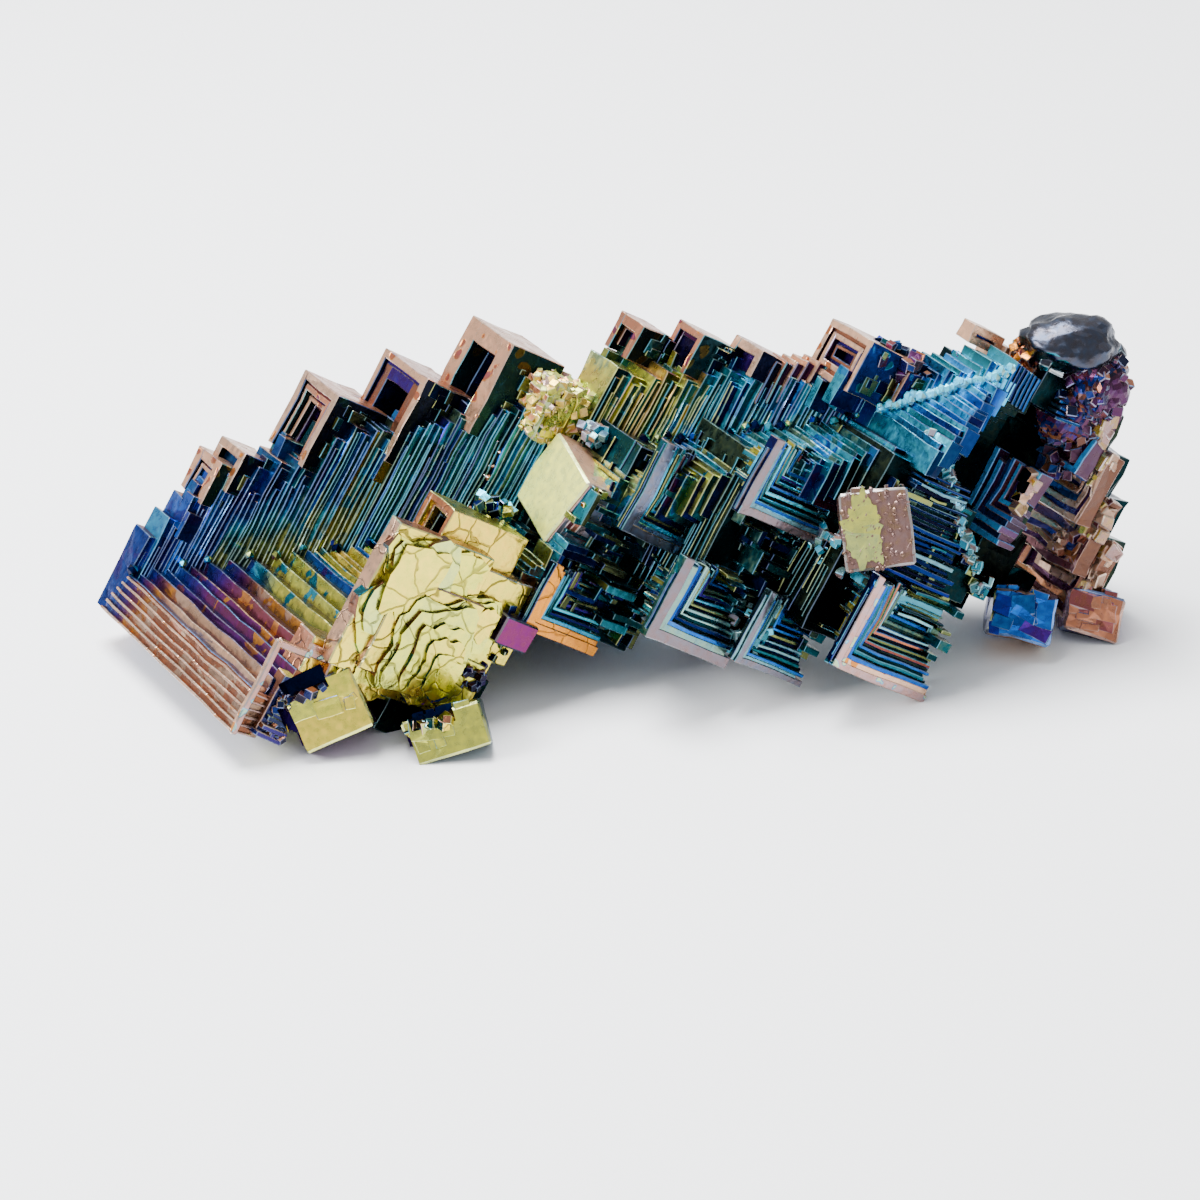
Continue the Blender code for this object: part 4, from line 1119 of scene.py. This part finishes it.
SPINE_FILM_SHARE, SPINE_SHADE_SHARE = 0.85, 0.8
for face in bm.faces:
    zone = zones[int(face[zone_layer] + 0.5)]
    for name, layer in zip(look_names, look_layers):
        face[layer] = zone[name]
    for loop in face.loops:
        film = face[film_layer]
        shade = face[shade_layer]
        if zone["near_spine"]:
            spine_film, spine_shade, from_mm, to_mm, from_r, until_r = zone["near_spine"]
            point = to_lattice @ loop.vert.co
            distance = distance_from_spine(point, zone in (zones[upper_zone], zones[feather_wing_zone]))
            if from_r < point.z < until_r:
                share = min(max((to_mm - distance) / (to_mm - from_mm), 0.0), 1.0)
                film += (spine_film - film) * share * SPINE_FILM_SHARE
                shade += (spine_shade - shade) * share * SPINE_SHADE_SHARE
        loop[film_loops] = film
        loop[shade_loops] = shade

# (waves per millimetre, how far they reach in millimetres)
WANDERS = ((1 / 3.0, 0.17), (1 / 1.1, 0.09))
WANDER_SEED = 3
# The feet stay flat: the wander fades out over the lowest half millimetre.
FEET_HEIGHT = 0.5 * MM
# The right end froze fast, so its rims are the waviest.
WAVY_FROM, WAVY_TO, WAVINESS = 52.0, 58.0, 1.6
noise.seed_set(WANDER_SEED)
for vertex in bm.verts:
    drift = Vector((0.0, 0.0, 0.0))
    for frequency, reach in WANDERS:
        drift += noise.noise_vector(vertex.co / MM * frequency) * reach * MM
    share = ((to_lattice @ vertex.co).z - WAVY_FROM) / (WAVY_TO - WAVY_FROM)
    drift *= 1.0 + WAVINESS * min(max(share, 0.0), 1.0)
    clear_of_feet = min(vertex.co.z / FEET_HEIGHT, 1.0)
    vertex.co += drift * clear_of_feet
    vertex.co.z = min(max(vertex.co.z, 0.0), cad_high[2])
for layer in (film_layer, shade_layer, zone_layer):
    bm.faces.layers.float.remove(layer)
bm.to_mesh(crystal.data)
bm.free()


# Shader maths: a socket that can be added, multiplied and compared in plain expressions.
class Socket:
    """One output of a node tree, with the operators that the materials use."""

    def __init__(self, tree, link):
        self.tree = tree
        self.link = link

    def maths(self, operation, other, swap=False):
        values = (other, self) if swap else (self, other)
        return node(self.tree, "ShaderNodeMath", {"operation": operation}, {0: values[0], 1: values[1]})

    def __add__(self, other):
        return self.maths("ADD", other)

    def __sub__(self, other):
        return self.maths("SUBTRACT", other)

    def __rsub__(self, other):
        return self.maths("SUBTRACT", other, swap=True)

    def __mul__(self, other):
        return self.maths("MULTIPLY", other)

    def at_least(self, lowest):
        return self.maths("MAXIMUM", lowest)

    def ramp(self, start, end):
        """0 below start, 1 above end."""
        return node(self.tree, "ShaderNodeMapRange", {"clamp": True}, {0: self, 1: start, 2: end})

    __radd__ = __add__
    __rmul__ = __mul__


def node(tree, kind, settings, inputs, output=0):
    """A new node with its settings and inputs, as the socket of one of its outputs."""
    made = tree.nodes.new(kind)
    for name, value in settings.items():
        if name == "stops":
            while len(made.color_ramp.elements) > 1:
                made.color_ramp.elements.remove(made.color_ramp.elements[0])
            for index, (place, colour) in enumerate(value):
                stop = made.color_ramp.elements[0] if index == 0 else made.color_ramp.elements.new(place)
                stop.position = place
                stop.color = (*colour, 1.0)
        else:
            setattr(made, name, value)
    for name, value in inputs.items():
        if isinstance(value, Socket):
            tree.links.new(value.link, made.inputs[name])
        else:
            made.inputs[name].default_value = value
    return Socket(tree, made.outputs[output])


# The film: bismuth oxide from bare silver through tan, copper, gold, purple and blue to cyan, and on to the
# second order's pale yellow-green and pearl. The metal under it is satin. Its bevelled edges are mixed
# towards a pale colour as a painted highlight.
THINNEST = 0.09
THICKEST = 1.25
FILM_COLOURS = (
    (SILVER, (0.26, 0.30, 0.36)), (TAN, (0.62, 0.36, 0.22)), (COPPER, (0.42, 0.15, 0.08)),
    (GOLD, (0.62, 0.23, 0.02)), (ROSE, (0.24, 0.06, 0.06)), (PURPLE, (0.12, 0.012, 0.11)),
    (VIOLET, (0.035, 0.012, 0.20)), (NAVY, (0.004, 0.02, 0.20)), (COBALT, (0.008, 0.09, 0.40)),
    (SKY, (0.03, 0.28, 0.62)), (CYAN, (0.06, 0.48, 0.64)), (TEAL, (0.006, 0.14, 0.17)),
    (CELADON, (0.42, 0.50, 0.19)), (LIME, (0.60, 0.59, 0.08)), (STRAW, (0.76, 0.50, 0.06)),
    (PEARL_PINK, (0.40, 0.22, 0.19)), (PEARL_GREY, (0.24, 0.23, 0.28)), (PEARL_BLUE, (0.08, 0.20, 0.42)),
    (PEARL_CYAN, (0.18, 0.42, 0.47)), (PEARL_GREEN, (0.34, 0.45, 0.26)),
)
# How many of each pattern go to a metre.
CLOUDS, BLOTCHES, SPECKS, WAVES, CRACKS, PITS = 230.0, 330.0, 1500.0, 380.0, 340.0, 620.0
# How much each pattern adds to the film's thickness.
CLOUDY, SPECKLED, PATCHY, DOTTED = 0.26, 0.06, 0.17, 0.20
# The pale colour and share of the painted highlight along the bevelled edges.
EDGE_HIGHLIGHT_COLOUR, EDGE_HIGHLIGHT_SHARE = (0.50, 0.66, 0.68, 1.0), 0.22
RELIEF_HEIGHT = 0.22 * MM
film_metal = bpy.data.materials.new("iridescent_oxide")
film_metal.use_nodes = True
tree = film_metal.node_tree
place = node(tree, "ShaderNodeTexCoord", {}, {}, output=3)
film, shade, bevel_highlight, mottle, patch, vein, spots, matte = (
    node(tree, "ShaderNodeAttribute", {"attribute_name": name}, {}, output=2)
    for name in ("film", "shade", "edge", *look_names))
clouds = node(tree, "ShaderNodeTexNoise", {}, {"Vector": place, "Scale": CLOUDS, "Detail": 2.5})
blotches = node(tree, "ShaderNodeTexNoise", {}, {"Vector": place, "Scale": BLOTCHES, "Detail": 4.0,
                                                "Distortion": 0.6})
specks = node(tree, "ShaderNodeTexNoise", {}, {"Vector": place, "Scale": SPECKS, "Detail": 2.0})
wander = node(tree, "ShaderNodeTexNoise", {}, {"Vector": place, "Scale": WAVES, "Detail": 2.0}, output=1)
wandering = node(tree, "ShaderNodeMix", {"data_type": "VECTOR"}, {0: 0.0022, 4: place, 5: wander}, output=1)
cracks = node(tree, "ShaderNodeTexVoronoi", {"feature": "DISTANCE_TO_EDGE"},
              {"Vector": wandering, "Scale": CRACKS})
pits = node(tree, "ShaderNodeTexVoronoi", {"feature": "F1"}, {"Vector": wandering, "Scale": PITS})
patches = blotches.ramp(0.56, 0.585) * patch
dots = (1.0 - pits.ramp(0.24, 0.30)) * spots
lines = (1.0 - cracks.ramp(0.012, 0.035)) * vein
thickness = (film + (clouds - 0.5) * mottle * CLOUDY + (specks - 0.5) * SPECKLED - patches * PATCHY
             + dots * DOTTED).at_least(THINNEST)
colour = node(tree, "ShaderNodeValToRGB", {"stops": tuple((f / THICKEST, c) for f, c in FILM_COLOURS)},
              {"Fac": thickness * (1 / THICKEST)})
# Veins are dark, and specks lift and lower the shade by a quarter. The shade, painted light and shade,
# then darkens or lightens the film's colour.
shade = shade * (1.0 - lines * 0.85) * (0.72 + specks * 0.56)
grey = node(tree, "ShaderNodeCombineColor", {}, {0: shade, 1: shade, 2: shade})
colour = node(tree, "ShaderNodeMix", {"data_type": "RGBA", "blend_type": "MULTIPLY"},
              {0: 1.0, 6: colour, 7: grey}, output=2)
# Bevels are mixed towards the pale colour: a painted highlight along each edge.
pale = node(tree, "ShaderNodeMix", {"data_type": "RGBA"},
            {0: bevel_highlight * EDGE_HIGHLIGHT_SHARE, 6: colour, 7: EDGE_HIGHLIGHT_COLOUR}, output=2)
surface = tree.nodes["Principled BSDF"]
tree.links.new(pale.link, surface.inputs["Base Color"])
tree.links.new((specks * 0.25 + 0.17).link, surface.inputs["Roughness"])
tree.links.new((1.0 - matte).link, surface.inputs["Metallic"])
relief = specks * 0.5 + blotches * 0.8 - lines * 0.6 - dots * 0.4
bump = node(tree, "ShaderNodeBump", {}, {"Strength": 0.45, "Distance": RELIEF_HEIGHT, "Height": relief})
tree.links.new(bump.link, surface.inputs["Normal"])
crystal.data.materials.clear()
crystal.data.materials.append(film_metal)
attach(crystal, "root")
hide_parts("bismuth_crystal")

# ---------------------------------------------------------------------------------------------------------
# The stage: a white table in soft light, seen from the front and a little above.
TABLE_SIZE = 6.0
floor = bmesh.new()
bmesh.ops.create_grid(floor, x_segments=1, y_segments=1, size=TABLE_SIZE / 2)
table_mesh = bpy.data.meshes.new("table_top")
floor.to_mesh(table_mesh)
floor.free()
table_top = bpy.data.objects.new("table_top", table_mesh)
bpy.context.scene.collection.objects.link(table_top)
table_paint = bpy.data.materials.new("white_table")
table_paint.use_nodes = True
table_paint.node_tree.nodes["Principled BSDF"].inputs["Base Color"].default_value = (0.93, 0.94, 0.96, 1.0)
table_paint.node_tree.nodes["Principled BSDF"].inputs["Roughness"].default_value = 0.7
table_mesh.materials.append(table_paint)

world = bpy.data.worlds.new("studio")
bpy.context.scene.world = world
world.use_nodes = True
world.node_tree.nodes["Background"].inputs["Color"].default_value = (0.95, 0.97, 1.0, 1.0)
world.node_tree.nodes["Background"].inputs["Strength"].default_value = 1.0


def lamp(name, place, aim, size, power):
    """A soft square lamp."""
    light = bpy.data.lights.new(name, "AREA")
    light.size = size
    light.energy = power
    made = bpy.data.objects.new(name, light)
    made.location = place
    made.rotation_mode = "QUATERNION"
    made.rotation_quaternion = (Vector(aim) - Vector(place)).to_track_quat("-Z", "Y")
    bpy.context.scene.collection.objects.link(made)


lamp("overhead", (-0.10, 0.10, 0.45), (0.0, 0.0, 0.0), 0.25, 7.0)
lamp("left_window", (-0.45, -0.15, 0.30), (0.0, 0.0, 0.01), 0.22, 5.0)

ELEVATION = 25.0
VIEW_DISTANCE = 0.380
AIM_RIGHT, AIM_UP, AIM_TOWARD = 0.0415, -0.0024, 0.0100
# One of the picture's 1200 pixels covers 0.086 mm of the crystal.
FIELD_AT_OBJECT = 0.086e-3 * 1200
right = Vector((1.0, 0.0, 0.0))
upward = Vector((0.0, math.sin(math.radians(ELEVATION)), math.cos(math.radians(ELEVATION))))
toward = Vector((0.0, -math.cos(math.radians(ELEVATION)), math.sin(math.radians(ELEVATION))))
camera = bpy.data.objects.new("camera", bpy.data.cameras.new("camera"))
bpy.context.scene.collection.objects.link(camera)
bpy.context.scene.camera = camera
camera.data.sensor_width = 36.0
camera.data.lens = 36.0 * VIEW_DISTANCE / FIELD_AT_OBJECT
camera.location = (TIP_OF_SPINE + right * AIM_RIGHT + upward * AIM_UP + toward * AIM_TOWARD
                   + toward * VIEW_DISTANCE)
camera.rotation_mode = "QUATERNION"
camera.rotation_quaternion = (-toward).to_track_quat("-Z", "Y")
